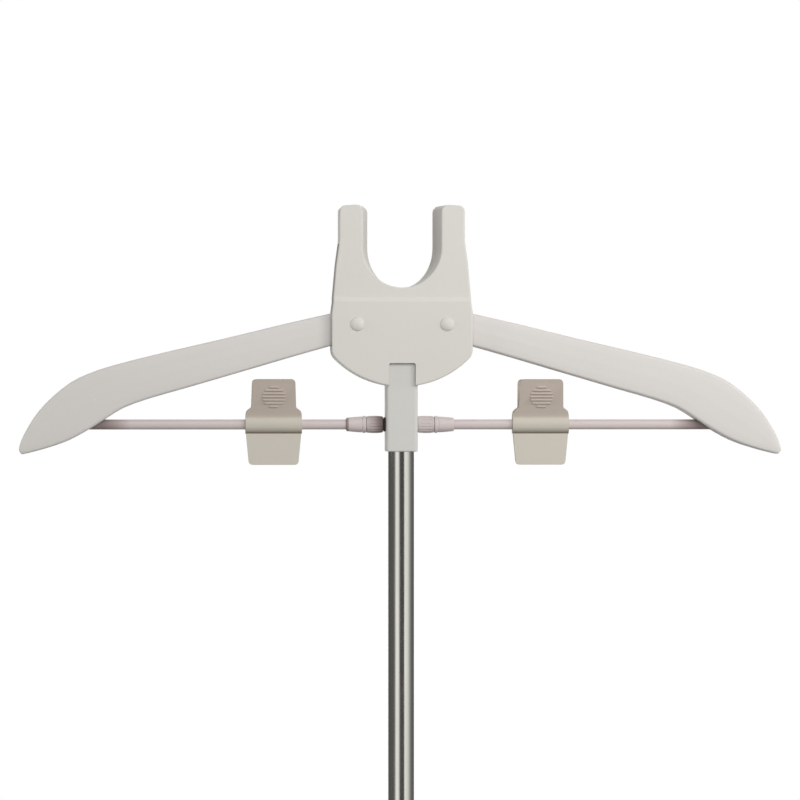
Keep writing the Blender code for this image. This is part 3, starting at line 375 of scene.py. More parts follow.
METAL_FINISHES = {
    "pole_steel": ("polished_pole_steel", (0.56, 0.55, 0.52), (0.50, 0.49, 0.465), 0.14, 0.04),
    "zinc_steel": ("zinc_steel", (0.58, 0.58, 0.57), (0.44, 0.44, 0.44), 0.34, 0.15),
    "spring_steel": ("spring_steel", (0.42, 0.42, 0.43), (0.30, 0.30, 0.31), 0.3, 0.1),
    "stud_steel": ("stud_steel", (0.50, 0.49, 0.47), (0.36, 0.35, 0.34), 0.3, 0.1),
}
OWN_SETTINGS = {"arm_plastic": {"PaintedLight": 1.0}, "stud_steel": {"Stretch": (0.02, 1.0, 1.0)}}
GRAIN_HEIGHT = 0.0001
# Painted highlight: the colour that convex edges of the arms are lightened towards
EDGE_HIGHLIGHT = (0.86, 0.85, 0.83, 1)

# Painted shade, and a tint on the thumb tabs: the axis that it changes along, and its tint at
# places on that axis
UNTINTED = (1, 1, 1)
PAINTED_SHADE_AND_TINTS = {
    # Painted shadow of the stem, darker on the left nut towards the stem
    "nut_in_painted_shadow": (
        "X",
        (
            (-0.0195, UNTINTED),
            (-0.0160, (0.84, 0.81, 0.80)),
            (-0.0130, (0.52, 0.46, 0.45)),
            (-0.0110, (0.32, 0.27, 0.26)),
        ),
    ),
    # Painted shade under each clip's roll and a little over the roll, and a darker, warmer tint up
    # the thumb tab
    "clip_plastic": (
        "Z",
        (
            (BAR_Z - 0.00535, UNTINTED),
            (BAR_Z - 0.00527, (0.58, 0.53, 0.50)),
            (BAR_Z - 0.00460, (0.60, 0.55, 0.52)),
            (BAR_Z - 0.00340, (0.82, 0.79, 0.77)),
            (BAR_Z - 0.00150, (0.94, 0.94, 0.93)),
            (BAR_Z + 0.00300, (0.94, 0.94, 0.93)),
            (BAR_Z + 0.00650, (0.86, 0.80, 0.78)),
        ),
    ),
    # Painted shadow where the left bar runs in under the arm, and a painted shade ring at the
    # sleeve's tip
    "left_bar_enamel": (
        "X",
        (
            (-0.1720, (0.40, 0.36, 0.34)),
            (-0.1640, (0.66, 0.62, 0.60)),
            (-0.1560, UNTINTED),
            (-0.0322, UNTINTED),
            (-0.0317, (0.42, 0.36, 0.34)),
            (-0.0307, (0.50, 0.44, 0.42)),
            (-0.0301, UNTINTED),
        ),
    ),
    # Painted shadow where the right bar runs in under the arm
    "right_bar_enamel": (
        "X",
        (
            (0.1560, UNTINTED),
            (0.1640, (0.66, 0.62, 0.60)),
            (0.1720, (0.40, 0.36, 0.34)),
        ),
    ),
}


# Wiring of materials and light


def feed(tree, socket, value):
    """Links a socket to another node's result, or sets it to a plain value."""
    if isinstance(value, bpy.types.NodeSocket):
        tree.links.new(value, socket)
    else:
        socket.default_value = value


def place_of(tree, kind="Object"):
    """The place on the piece, as X, Y and Z."""
    parts = tree.nodes.new("ShaderNodeSeparateXYZ")
    feed(tree, parts.inputs["Vector"], tree.nodes.new("ShaderNodeTexCoord").outputs[kind])
    return parts.outputs


def reckoned(tree, operation, *values):
    """One step of arithmetic."""
    node = tree.nodes.new("ShaderNodeMath")
    node.operation = operation
    for socket, value in zip(node.inputs, values):
        feed(tree, socket, value)
    return node.outputs[0]


def mapped(tree, value, low, high, to_low=0.0, to_high=1.0, curve="LINEAR"):
    """A value moved from one range to another, and held at its ends."""
    node = tree.nodes.new("ShaderNodeMapRange")
    node.interpolation_type = curve
    feed(tree, node.inputs["Value"], value)
    feed(tree, node.inputs["From Min"], low)
    feed(tree, node.inputs["From Max"], high)
    feed(tree, node.inputs["To Min"], to_low)
    feed(tree, node.inputs["To Max"], to_high)
    return node.outputs["Result"]


def banded(tree, value, stops):
    """A ramp of colours. The stops list (position, colour)."""
    node = tree.nodes.new("ShaderNodeValToRGB")
    ramp = node.color_ramp
    while len(ramp.elements) < len(stops):
        ramp.elements.new(0.5)
    for element, (position, colour) in zip(ramp.elements, stops):
        element.position = position
        element.color = (*colour, 1)
    feed(tree, node.inputs["Fac"], value)
    return node.outputs["Color"]


def tinted(tree, factor, first, second, blend="MIX"):
    """Two colours laid over each other."""
    node = tree.nodes.new("ShaderNodeMix")
    node.data_type = "RGBA"
    node.blend_type = blend
    feed(tree, node.inputs[0], factor)
    feed(tree, node.inputs[6], first)
    feed(tree, node.inputs[7], second)
    return node.outputs[2]


def noise(tree, vector, scale, detail, roughness=0.5):
    node = tree.nodes.new("ShaderNodeTexNoise")
    node.inputs["Scale"].default_value = scale
    node.inputs["Detail"].default_value = detail
    node.inputs["Roughness"].default_value = roughness
    feed(tree, node.inputs["Vector"], vector)
    return node.outputs["Fac"]


# Camera, light and ground


def deselect():
    if bpy.context.object and bpy.context.object.mode != "OBJECT":
        bpy.ops.object.mode_set(mode="OBJECT")
    bpy.ops.object.select_all(action="DESELECT")


def place_camera():
    deselect()
    distance = VIEW_WIDTH * LENS / SENSOR
    back = Vector((-math.sin(VIEW_FROM_LEFT), -math.cos(VIEW_FROM_LEFT), 0)) * distance
    bpy.ops.object.camera_add(
        location=Vector((VIEW_X, 0, VIEW_Z)) + back, rotation=(math.pi / 2, 0, -VIEW_FROM_LEFT)
    )
    camera = bpy.context.object
    camera.name = "camera"
    camera.data.lens = LENS
    camera.data.sensor_width = SENSOR
    camera.data.clip_start = NEAREST_SEEN
    bpy.context.scene.camera = camera


def softbox(name, place, side, power):
    """A square lamp turned towards the bars, and not seen in reflections."""
    deselect()
    way = Vector(SOFTBOX_AIM) - Vector(place)
    turn = way.to_track_quat("-Z", "Y").to_euler()
    bpy.ops.object.light_add(type="AREA", location=place, rotation=turn)
    lamp = bpy.context.object
    lamp.name = name
    lamp.data.shape = "SQUARE"
    lamp.data.size = side
    lamp.data.energy = power
    lamp.data.color = SOFTBOX_WHITE
    lamp.visible_glossy = False


def white_surroundings():
    """White to the camera, in reflections and through clear parts. To surfaces it is a plain
    light that weakens towards straight above and straight below."""
    world = bpy.data.worlds.new("surroundings")
    bpy.context.scene.world = world
    world.use_nodes = True
    tree = world.node_tree
    steepness = reckoned(tree, "ABSOLUTE", place_of(tree, "Generated")["Z"])
    to_surfaces = mapped(tree, steepness, 0, 1, ROOM_LIGHT, ROOM_LIGHT_ABOVE)
    ray = tree.nodes.new("ShaderNodeLightPath").outputs
    seen = reckoned(tree, "MAXIMUM", ray["Is Camera Ray"], ray["Is Glossy Ray"])
    seen = reckoned(tree, "MAXIMUM", seen, ray["Is Transmission Ray"])
    background = tree.nodes["Background"]
    background.inputs["Color"].default_value = (1, 1, 1, 1)
    feed(tree, background.inputs["Strength"], mapped(tree, seen, 0, 1, to_surfaces, 1.0))


def studio_tent():
    """A ring of cards that only reflections show: bright strips to the left and right of the
    camera and behind the hanger, and dark between them."""
    deselect()
    bpy.ops.mesh.primitive_cylinder_add(
        vertices=96,
        radius=TENT_RADIUS,
        depth=TENT_HEIGHT,
        end_fill_type="NOTHING",
        location=(0, 0, VIEW_Z),
    )
    tent = bpy.context.object
    tent.name = "studio_tent"
    bpy.ops.object.transform_apply(location=True, rotation=True, scale=True)
    tent.visible_camera = False
    tent.visible_diffuse = False
    tent.visible_shadow = False
    tent.visible_transmission = False
    card = bpy.data.materials.new("studio_cards")
    card.use_nodes = True
    tree = card.node_tree
    tree.nodes.clear()
    place = place_of(tree)
    angle = reckoned(tree, "ARCTAN2", place["X"], reckoned(tree, "MULTIPLY", place["Y"], -1))
    turn = mapped(tree, angle, -math.pi, math.pi)
    stops = [
        (0.5 + degrees / 360, (level, level, level * CARD_WARMTH)) for degrees, level in CARD_STRIPS
    ]
    glow = tree.nodes.new("ShaderNodeEmission")
    feed(tree, glow.inputs["Color"], banded(tree, turn, stops))
    surface = tree.nodes.new("ShaderNodeOutputMaterial").inputs["Surface"]
    feed(tree, surface, glow.outputs["Emission"])
    card.cycles.emission_sampling = "NONE"
    tent.data.materials.append(card)


def ground():
    """A pale round floor that keeps the shadow and fades into the white around it."""
    deselect()
    bpy.ops.mesh.primitive_circle_add(
        vertices=128, radius=FLOOR_RADIUS, fill_type="NGON", location=(0, 0, FLOOR_Z)
    )
    floor = bpy.context.object
    floor.name = "floor"
    bpy.ops.object.transform_apply(location=True, rotation=True, scale=True)
    paint = bpy.data.materials.new("pale_floor")
    paint.use_nodes = True
    tree = paint.node_tree
    shader = tree.nodes["Principled BSDF"]
    shader.inputs["Base Color"].default_value = FLOOR_COLOUR
    shader.inputs["Roughness"].default_value = FLOOR_ROUGHNESS
    reach = tree.nodes.new("ShaderNodeVectorMath")
    reach.operation = "LENGTH"
    feed(tree, reach.inputs[0], tree.nodes.new("ShaderNodeTexCoord").outputs["Object"])
    reach = reach.outputs["Value"]
    fade = mapped(
        tree, reach, FLOOR_FADE_START, FLOOR_FADE_END, FLOOR_LEAST_FADE, curve="SMOOTHSTEP"
    )
    ray = tree.nodes.new("ShaderNodeLightPath").outputs
    glow = tree.nodes.new("ShaderNodeEmission")
    feed(
        tree,
        glow.inputs["Strength"],
        reckoned(
            tree, "MULTIPLY_ADD", ray["Is Glossy Ray"], FLOOR_IN_REFLECTIONS, ray["Is Camera Ray"]
        ),
    )
    mix = tree.nodes.new("ShaderNodeMixShader")
    feed(tree, mix.inputs["Fac"], fade)
    feed(tree, mix.inputs[1], shader.outputs["BSDF"])
    feed(tree, mix.inputs[2], glow.outputs["Emission"])
    feed(tree, tree.nodes["Material Output"].inputs["Surface"], mix.outputs["Shader"])
    paint.cycles.emission_sampling = "NONE"
    floor.data.materials.append(paint)


def studio():
    bpy.context.scene.view_settings.view_transform = "Standard"
    white_surroundings()
    for name, (place, side, power) in SOFTBOXES.items():
        softbox(name, place, side, power)
    studio_tent()
    ground()


# Surface effects, shared between the materials


def new_group(name, inputs):
    """A shared effect, which puts out a colour, a roughness and a height."""
    group = bpy.data.node_groups.new(name, "ShaderNodeTree")
    for label, kind, value in inputs:
        socket = group.interface.new_socket(name=label, in_out="INPUT", socket_type=kind)
        socket.default_value = value
    for label, kind in (
        ("Colour", "NodeSocketColor"),
        ("Roughness", "NodeSocketFloat"),
        ("Height", "NodeSocketFloat"),
    ):
        group.interface.new_socket(name=label, in_out="OUTPUT", socket_type=kind)
    asked = group.nodes.new("NodeGroupInput").outputs
    result = group.nodes.new("NodeGroupOutput").inputs
    return group, asked, result


def moulded_group():
    """Cloudy colour, fine spark-eroded grain and a slow flow ripple, and where asked, a painted
    highlight on convex edges and painted shade in hollows.
    """
    group, asked, result = new_group(
        "moulded_skin",
        (
            ("Colour", "NodeSocketColor", (0.6, 0.6, 0.6, 1)),
            ("Shade", "NodeSocketColor", (0.5, 0.5, 0.5, 1)),
            ("Roughness", "NodeSocketFloat", 0.5),
            ("PaintedLight", "NodeSocketFloat", 0.0),
        ),
    )
    place = group.nodes.new("ShaderNodeTexCoord").outputs["Object"]
    cloud = mapped(group, noise(group, place, 22, 4), 0.35, 0.7)
    speck = mapped(group, noise(group, place, 700, 2), 0.35, 0.75)
    grain = noise(group, place, 2600, 3, 0.6)
    ripple = noise(group, place, 60, 2)
    point = group.nodes.new("ShaderNodeNewGeometry").outputs["Pointiness"]
    # Painted highlight on convex edges and painted shade in hollows, read from pointiness, where
    # asked
    edge = reckoned(group, "MULTIPLY", mapped(group, point, 0.53, 0.62, 0.0, 0.45), asked["PaintedLight"])
    hollow_shade = reckoned(group, "MULTIPLY", mapped(group, point, 0.48, 0.40, 0.0, 0.5), asked["PaintedLight"])
    clouding = reckoned(group, "MULTIPLY", cloud, 0.32)
    specking = reckoned(group, "MULTIPLY", speck, 0.10)
    base = tinted(group, clouding, asked["Colour"], asked["Shade"])
    base = tinted(group, specking, base, asked["Shade"])
    base = tinted(group, edge, base, EDGE_HIGHLIGHT)
    feed(group, result["Colour"], tinted(group, hollow_shade, base, asked["Shade"]))
    rough = reckoned(group, "ADD", mapped(group, cloud, 0, 1, -0.05, 0.06), asked["Roughness"])
    rough = reckoned(group, "ADD", rough, mapped(group, grain, 0.3, 0.7, -0.03, 0.05))
    feed(group, result["Roughness"], rough)
    height = reckoned(group, "ADD", grain, reckoned(group, "MULTIPLY", ripple, 1.2))
    feed(group, result["Height"], height)
    return group


def drawn_metal_group():
    """Fine lines along the drawing direction, smudges and dust."""
    group, asked, result = new_group(
        "drawn_metal",
        (
            ("Colour", "NodeSocketColor", (0.5, 0.5, 0.5, 1)),
            ("Shade", "NodeSocketColor", (0.4, 0.4, 0.4, 1)),
            ("Roughness", "NodeSocketFloat", 0.2),
            ("Stretch", "NodeSocketVector", (1.0, 1.0, 0.02)),
        ),
    )
    place = group.nodes.new("ShaderNodeTexCoord").outputs["Object"]
    stretched = group.nodes.new("ShaderNodeVectorMath")
    stretched.operation = "MULTIPLY"
    feed(group, stretched.inputs[0], place)
    feed(group, stretched.inputs[1], asked["Stretch"])
    lines = noise(group, stretched.outputs[0], 1500, 3, 0.6)
    wide = mapped(group, noise(group, stretched.outputs[0], 260, 2), 0.3, 0.7)
    smudge = mapped(group, noise(group, place, 30, 4, 0.6), 0.42, 0.72)
    base = tinted(group, wide, asked["Colour"], asked["Shade"])
    base = tinted(group, reckoned(group, "MULTIPLY", smudge, 0.35), base, asked["Shade"])
    feed(group, result["Colour"], base)
    rough = reckoned(group, "ADD", mapped(group, lines, 0.3, 0.7, -0.03, 0.05), asked["Roughness"])
    rough = reckoned(group, "ADD", rough, reckoned(group, "MULTIPLY", smudge, 0.07))
    feed(group, result["Roughness"], rough)
    feed(group, result["Height"], lines)
    return group


def finish(group, name, colour, shade, roughness, bump, metallic=0.0, **own_settings):
    """A material that wears one of the shared effects with values of its own."""
    material = bpy.data.materials.new(name)
    material.use_nodes = True
    tree = material.node_tree
    shader = tree.nodes["Principled BSDF"]
    skin = tree.nodes.new("ShaderNodeGroup")
    skin.node_tree = group
    skin.inputs["Colour"].default_value = (*colour, 1)
    skin.inputs["Shade"].default_value = (*shade, 1)
    skin.inputs["Roughness"].default_value = roughness
    for label, value in own_settings.items():
        skin.inputs[label].default_value = value
    relief = tree.nodes.new("ShaderNodeBump")
    relief.inputs["Strength"].default_value = bump
    relief.inputs["Distance"].default_value = GRAIN_HEIGHT
    feed(tree, relief.inputs["Height"], skin.outputs["Height"])
    feed(tree, shader.inputs["Base Color"], skin.outputs["Colour"])
    feed(tree, shader.inputs["Roughness"], skin.outputs["Roughness"])
    feed(tree, shader.inputs["Normal"], relief.outputs["Normal"])
    shader.inputs["Metallic"].default_value = metallic
    material.diffuse_color = (*colour, 1)
    return material


def lay_painted_shade(material, axis, tones):
    """Tints laid over a finish along one axis, mostly painted shade. The tones list (place, tint).
    """
    tree = material.node_tree
    colour = tree.nodes["Principled BSDF"].inputs["Base Color"]
    unshaded_colour = colour.links[0].from_socket
    start, end = tones[0][0], tones[-1][0]
    reach = mapped(tree, place_of(tree)[axis], start, end)
    stops = [((place - start) / (end - start), tint) for place, tint in tones]
    feed(tree, colour, tinted(tree, 1, unshaded_colour, banded(tree, reach, stops), "MULTIPLY"))


def make_finishes():
    """Each finish under the slot of the pieces that wear it, or under a key of its own."""
    moulded = moulded_group()
    drawn_metal = drawn_metal_group()
    made = {}
    for key, values in MOULDED_FINISHES.items():
        made[key] = finish(moulded, *values, **OWN_SETTINGS.get(key, {}))
    for key, values in METAL_FINISHES.items():
        made[key] = finish(drawn_metal, *values, metallic=1.0, **OWN_SETTINGS.get(key, {}))
    # Painted shade and tints laid over some finishes
    for key, (axis, tones) in PAINTED_SHADE_AND_TINTS.items():
        lay_painted_shade(made[key], axis, tones)
    return made


# Ways of shaping


def edit(piece, kind="VERT"):
    bpy.context.view_layer.objects.active = piece
    bpy.ops.object.mode_set(mode="EDIT")
    bpy.ops.mesh.select_mode(type=kind)


def picked(piece):
    """The piece alone selected, and active."""
    deselect()
    piece.select_set(True)
    bpy.context.view_layer.objects.active = piece


def settled(piece):
    """Back in object mode, its faces turned outwards and its place in its mesh."""
    bpy.ops.mesh.select_all(action="SELECT")
    bpy.ops.mesh.normals_make_consistent(inside=False)
    bpy.ops.object.mode_set(mode="OBJECT")
    bpy.ops.object.transform_apply(location=True, rotation=True, scale=True)
    return piece


def soften(piece, width, segments=2, angle=30, weight=50):
    """Rounds the edges sharper than the angle, if given a width, and shades flat faces flat."""
    picked(piece)
    if width:
        bevel = piece.modifiers.new("soft_edges", "BEVEL")
        bevel.width = width
        bevel.segments = segments
        bevel.limit_method = "ANGLE"
        bevel.angle_limit = math.radians(angle)
        bpy.ops.object.modifier_apply(modifier=bevel.name)
    bpy.ops.object.shade_smooth_by_angle(angle=SMOOTH_UP_TO)
    flats = piece.modifiers.new("flat_faces", "WEIGHTED_NORMAL")
    flats.keep_sharp = True
    flats.weight = weight
    bpy.ops.object.modifier_apply(modifier=flats.name)
    return piece


def cleaned(piece, gap=0.000004, slack=0.3):
    """Merges points that lie on each other and joins faces that lie in one plane."""
    edit(piece)
    bpy.ops.mesh.select_all(action="SELECT")
    bpy.ops.mesh.remove_doubles(threshold=gap)
    bpy.ops.mesh.dissolve_limited(angle_limit=math.radians(slack))
    bpy.ops.object.mode_set(mode="OBJECT")
    return piece


def shaped_by(piece, other, way="DIFFERENCE"):
    """Cuts a second body out of a piece, joins it on, or keeps only what both fill."""
    picked(piece)
    step = piece.modifiers.new("shape", "BOOLEAN")
    step.operation = way
    step.object = other
    bpy.ops.object.modifier_apply(modifier=step.name)
    bpy.data.objects.remove(other, do_unlink=True)
    return piece


def turned(axis, at, profile, sides, bored=False):
    """A body drawn out ring by ring from a circle. The profile lists (distance, radius)."""
    deselect()
    way = Vector(axis)
    at = Vector(at)
    start, radius = profile[0]
    bpy.ops.mesh.primitive_circle_add(
        vertices=sides,
        radius=radius,
        location=at + way * start,
        rotation=way.to_track_quat("Z", "Y").to_euler(),
    )
    piece = bpy.context.object
    edit(piece)
    bpy.ops.mesh.select_all(action="SELECT")
    for (near, before), (far, after) in zip(profile, profile[1:]):
        bpy.ops.mesh.extrude_region_move(TRANSFORM_OT_translate={"value": way * (far - near)})
        if after != before:
            bpy.ops.transform.resize(value=(after / before,) * 3, center_override=at + way * far)
    if bored:
        bpy.ops.mesh.select_mode(type="EDGE")
        bpy.ops.mesh.select_all(action="DESELECT")
        bpy.ops.mesh.select_non_manifold(extend=False)
        bpy.ops.mesh.bridge_edge_loops()
    else:
        bpy.ops.mesh.select_all(action="SELECT")
        bpy.ops.mesh.fill_holes(sides=0)
    return settled(piece)


def rod(start, end, radius, sides=48):
    way = Vector(end) - Vector(start)
    return turned(way.normalized(), start, [(0, radius), (way.length, radius)], sides)


def cross_rod(half, radius, x=0, y=0, z=BAR_Z, sides=48):
    """A rod that lies from left to right, its middle at the given place."""
    return rod((x - half, y, z), (x + half, y, z), radius, sides)


def drawn(points, depth):
    """A plate: its outline drawn point by point, filled, and pulled out by its depth."""
    deselect()
    bpy.ops.mesh.primitive_plane_add(size=0.001, location=Vector(points[0]))
    piece = bpy.context.object
    edit(piece)
    bpy.ops.mesh.select_all(action="SELECT")
    bpy.ops.mesh.merge(type="CENTER")
    for near, far in zip(points, points[1:]):
        step = Vector(far) - Vector(near)
        bpy.ops.mesh.extrude_vertices_move(TRANSFORM_OT_translate={"value": step})
    bpy.ops.mesh.select_all(action="SELECT")
    bpy.ops.mesh.edge_face_add()
    bpy.ops.mesh.extrude_region_move(TRANSFORM_OT_translate={"value": Vector(depth)})
    return settled(piece)


def round_edges(piece, wanted, width, steps):
    """Rounds the edges whose two ends pass a test."""
    edit(piece, "EDGE")
    bpy.ops.mesh.select_all(action="DESELECT")
    bpy.ops.object.mode_set(mode="OBJECT")
    mesh = piece.data
    for edge in mesh.edges:
        edge.select = wanted(*[mesh.vertices[i].co for i in edge.vertices])
    edit(piece, "EDGE")
    bpy.ops.mesh.bevel(offset=width, segments=steps, profile=0.5)
    bpy.ops.object.mode_set(mode="OBJECT")


def copied(piece, offset=(0, 0, 0), mirror=None):
    """A copy with its own mesh, moved, and mirrored in one axis if asked."""
    picked(piece)
    bpy.ops.object.duplicate()
    twin = bpy.context.object
    twin.parent = None
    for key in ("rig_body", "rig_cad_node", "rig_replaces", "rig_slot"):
        if key in twin:
            del twin[key]
    edit(twin)
    bpy.ops.mesh.select_all(action="SELECT")
    if mirror:
        bpy.ops.transform.resize(value=mirror, center_override=(0, 0, 0))
        bpy.ops.mesh.normals_make_consistent(inside=False)
    bpy.ops.transform.translate(value=offset)
    bpy.ops.object.mode_set(mode="OBJECT")
    return twin


def arc(radius, start, end, steps):
    """Points of an arc as (across, up), its angles in degrees from the front upwards."""
    found = []
    for k in range(steps + 1):
        angle = math.radians(start + (end - start) * k / steps)
        found.append((-radius * math.cos(angle), radius * math.sin(angle)))
    return found


def eased(before, corner, after, steps=5):
    """A soft bend between two points, pulled towards the corner between them."""
    found = []
    for k in range(steps + 1):
        t = k / steps
        found.append(
            tuple(
                a * (1 - t) ** 2 + c * 2 * t * (1 - t) + b * t**2
                for a, c, b in zip(before, corner, after)
            )
        )
    return found


def both_halves(half):
    """A closed outline from the (across, height) points of its right half."""
    return half + [(-across, height) for across, height in reversed(half)]


# Dressing


def body_of(node):
    for body, members in frame["record"]["behaviour"]["bodies"].items():
        if node in members:
            return body


def slot_of(node):
    for row in frame["record"]["subparts"]:
        if row["node"] == node:
            return row["material_slot"]


def dress(piece, node, finish=None):
    """Gives a finished piece its name, its finish and the solid that it stands for."""
    slot = slot_of(node)
    piece.name = node + "_skin"
    piece.data.name = piece.name
    piece.data.materials.clear()
    piece.data.materials.append(finishes[finish or slot])
    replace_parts(piece, node)
    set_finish(piece, slot)
    if not node.endswith("clip_spring"):
        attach(piece, body_of(node))


def head_cover(node):
    """A copy of a cover's solid, its doubles merged, its flats joined and its edges rounded."""
    dress(soften(cleaned(copied(frame["nodes"][node])), COVER_ROUND, 2, 15), node)


def arm(node):
    """A copy of an arm's solid, drawn again as one even skin and smoothed."""
    piece = cleaned(copied(frame["nodes"][node]))
    skin = piece.modifiers.new("even_skin", "REMESH")
    skin.mode = "VOXEL"
    skin.voxel_size = ARM_GRID
    bpy.ops.object.modifier_apply(modifier=skin.name)
    flow = piece.modifiers.new("flow", "SMOOTH")
    flow.factor = 0.5
    flow.iterations = ARM_SMOOTHING
    bpy.ops.object.modifier_apply(modifier=flow.name)
    bpy.ops.object.shade_smooth()
    dress(piece, node)


# Pole and stem


def pole_tube():
    outer, inner = POLE_RADIUS, POLE_RADIUS - POLE_WALL
    start = PLUG_FLANGE + SEAT_GAP
    profile = [(start, inner), (start, outer), (POLE_TOP, outer), (POLE_TOP, inner)]
    tube = turned((0, 0, 1), (0, 0, 0), profile, 96, True)
    shaped_by(tube, cross_rod(0.01, STUD_BORE))
    dress(soften(tube, 0.0002), "pole_tube")


def pole_end_plug():
    """A flange under the pole, and a spigot with grip grooves inside it."""
    spigot = POLE_RADIUS - POLE_WALL - RUNNING_GAP
    waist = spigot - PLUG_GROOVE_DEPTH
    profile = [(0, PLUG_FACE_RING), (0, POLE_RADIUS)]
    profile += [(PLUG_FLANGE, POLE_RADIUS), (PLUG_FLANGE, spigot)]
    for k in range(PLUG_GROOVES):
        base = PLUG_FLANGE + PLUG_GROOVE_START + PLUG_GROOVE_PITCH * k
        profile += [(base, spigot), (base + 0.0004, waist)]
        profile += [(base + 0.0014, waist), (base + 0.0018, spigot)]
    profile += [(PLUG_LENGTH, spigot), (PLUG_LENGTH, PLUG_FACE_RING)]
    dress(soften(turned((0, 0, 1), (0, 0, 0), profile, 64), 0.0003, 3), "pole_end_plug")


def stem():
    deselect()
    height = STEM_TOP - STEM_FOOT
    bpy.ops.mesh.primitive_cube_add(
        size=1,
        location=(0, (STEM_FRONT + STEM_BACK) / 2, (STEM_FOOT + STEM_TOP) / 2),
        scale=(2 * STEM_HALF, STEM_BACK - STEM_FRONT, height),
    )
    column = bpy.context.object
    bpy.ops.object.transform_apply(location=True, rotation=True, scale=True)
    round_edges(column, lambda a, b: abs(a.z - b.z) > height / 2, STEM_ROUND, 8)
    round_edges(column, lambda a, b: max(a.z, b.z) < STEM_FOOT + 0.0001, STEM_FOOT_ROUND, 4)
    mouth, bottom = (0, 0, STEM_FOOT - 0.002), (0, 0, STEM_FOOT + STEM_BORE_DEPTH)
    shaped_by(column, rod(mouth, bottom, POLE_RADIUS + RUNNING_GAP, 96))
    shaped_by(column, cross_rod(0.012, STUD_BORE))
    for drop in STEM_SCREW_DROPS:
        z = STEM_TOP - drop
        mouth, bottom = (0, STEM_BACK + 0.002, z), (0, STEM_SCREW_TIP_Y, z)
        shaped_by(column, rod(mouth, bottom, STEM_SCREW_HOLE, 24))
    dress(soften(column, 0), "stem")


def cross_stud():
    """A threaded stud across the stem and the pole, with plain chamfered ends."""
    tip, root = STUD_RADIUS - STUD_CHAMFER, STUD_RADIUS - STUD_THREAD_DEPTH
    profile = [(-STUD_HALF, tip), (STUD_CHAMFER - STUD_HALF, STUD_RADIUS)]
    threads = int((2 * STUD_HALF - 2 * STUD_THREAD_START) / STUD_PITCH)
    for k in range(threads):
        at = STUD_THREAD_START - STUD_HALF + k * STUD_PITCH
        profile += [(at, STUD_RADIUS), (at + STUD_PITCH / 2, root)]
    profile += [(STUD_HALF - STUD_CHAMFER, STUD_RADIUS), (STUD_HALF, tip)]
    stud = turned((1, 0, 0), (0, 0, BAR_Z), profile, 32)
    dress(soften(stud, 0), "cross_stud", "stud_steel")


def neck_washer():
    outer, end = NECK_WASHER_RADIUS, NECKS["left"] - RUNNING_GAP
    profile = [(SEAT_GAP, STUD_BORE), (SEAT_GAP, outer), (end, outer), (end, STUD_BORE)]
    ring = turned((-1, 0, 0), (-STEM_HALF, 0, BAR_Z), profile, 64, True)
    dress(soften(ring, 0.0003, 3), "left_neck_washer")


# Bars and their couplings


def bar_nut(name, side):
    """A barrel-shaped nut with flutes round it. The left one has the stem's shadow painted on it.
    """
    start = STEM_HALF + NECKS[name]
    nut = turned((side, 0, 0), (side * start, 0, BAR_Z), NUT_PROFILE, 144, True)
    ring = NUT_RADIUS + FLUTE_RADIUS - FLUTE_DEPTH
    near, far = side * (start + FLUTE_MARGIN), side * (start + NUT_LENGTH - FLUTE_MARGIN)
    flutes = None
    for k in range(NUT_FLUTES):
        angle = 2 * math.pi * k / NUT_FLUTES
        y, z = ring * math.cos(angle), BAR_Z + ring * math.sin(angle)
        flute = rod((near, y, z), (far, y, z), FLUTE_RADIUS, 16)
        if flutes:
            flutes.select_set(True)
            bpy.context.view_layer.objects.active = flutes
            bpy.ops.object.join()
        else:
            flutes = flute
    shaped_by(nut, flutes)
    dress(soften(nut, 0.0001), name + "_bar_nut", "nut_in_painted_shadow" if name == "left" else None)


def bar_sleeve(name, side):
    start = STEM_HALF + NECKS[name] + NUT_LENGTH
    sleeve = turned((side, 0, 0), (side * start, 0, BAR_Z), SLEEVE_PROFILE, 72, True)
    dress(soften(sleeve, 0.00008), name + "_bar_sleeve", name + "_bar_enamel")


def bar(name, side):
    start = STEM_HALF + NECKS[name] + NUT_LENGTH - BAR_IN_NUT
    profile = [(start, BAR_BORE), (start, BAR_RADIUS), (BAR_END, BAR_RADIUS), (BAR_END, BAR_BORE)]
    tube = turned((side, 0, 0), (0, 0, BAR_Z), profile, 64, True)
    dress(soften(tube, 0.00015), name + "_bar", name + "_bar_enamel")


def bar_cap(name, side):
    cap = turned((side, 0, 0), (side * BAR_END, 0, BAR_Z), CAP_PROFILE, 48)
    dress(soften(cap, 0.0001), name + "_bar_cap")


# Head fastenings


def pair_of_pivots(left, kind, finish=None):
    """The left pivot's piece, and its copy at the right pivot."""
    right = copied(left, (2 * PIVOT_X, 0, 0))
    dress(left, "left_pivot_" + kind, finish)
    dress(right, "right_pivot_" + kind, finish)


def pivot_rivets():
    """A domed head in front, a shank through arm and covers, and a flat tail behind."""
    grip = REAR_Y - PLATE_Y + 2 * SEAT_GAP
    ball = (RIVET_HEAD**2 + RIVET_DOME**2) / (2 * RIVET_DOME)
    profile = []
    for k in range(1, RIVET_STEPS + 1):
        angle = math.asin(RIVET_HEAD / ball) * k / RIVET_STEPS
        out = -RIVET_RIM - RIVET_DOME + ball * (1 - math.cos(angle))
        profile.append((out, ball * math.sin(angle)))
    profile += [(0, RIVET_HEAD), (0, RIVET_SHANK), (grip, RIVET_SHANK), (grip, RIVET_TAIL)]
    profile += [(grip + 0.0006, RIVET_TAIL), (grip + 0.0010, RIVET_TAIL - 0.0006)]
    profile += [(grip + 0.0012, RIVET_SHANK)]
    rivet = turned((0, 1, 0), (-PIVOT_X, PLATE_Y - SEAT_GAP, PIVOT_Z), profile, 72)
    pair_of_pivots(soften(rivet, 0), "rivet")


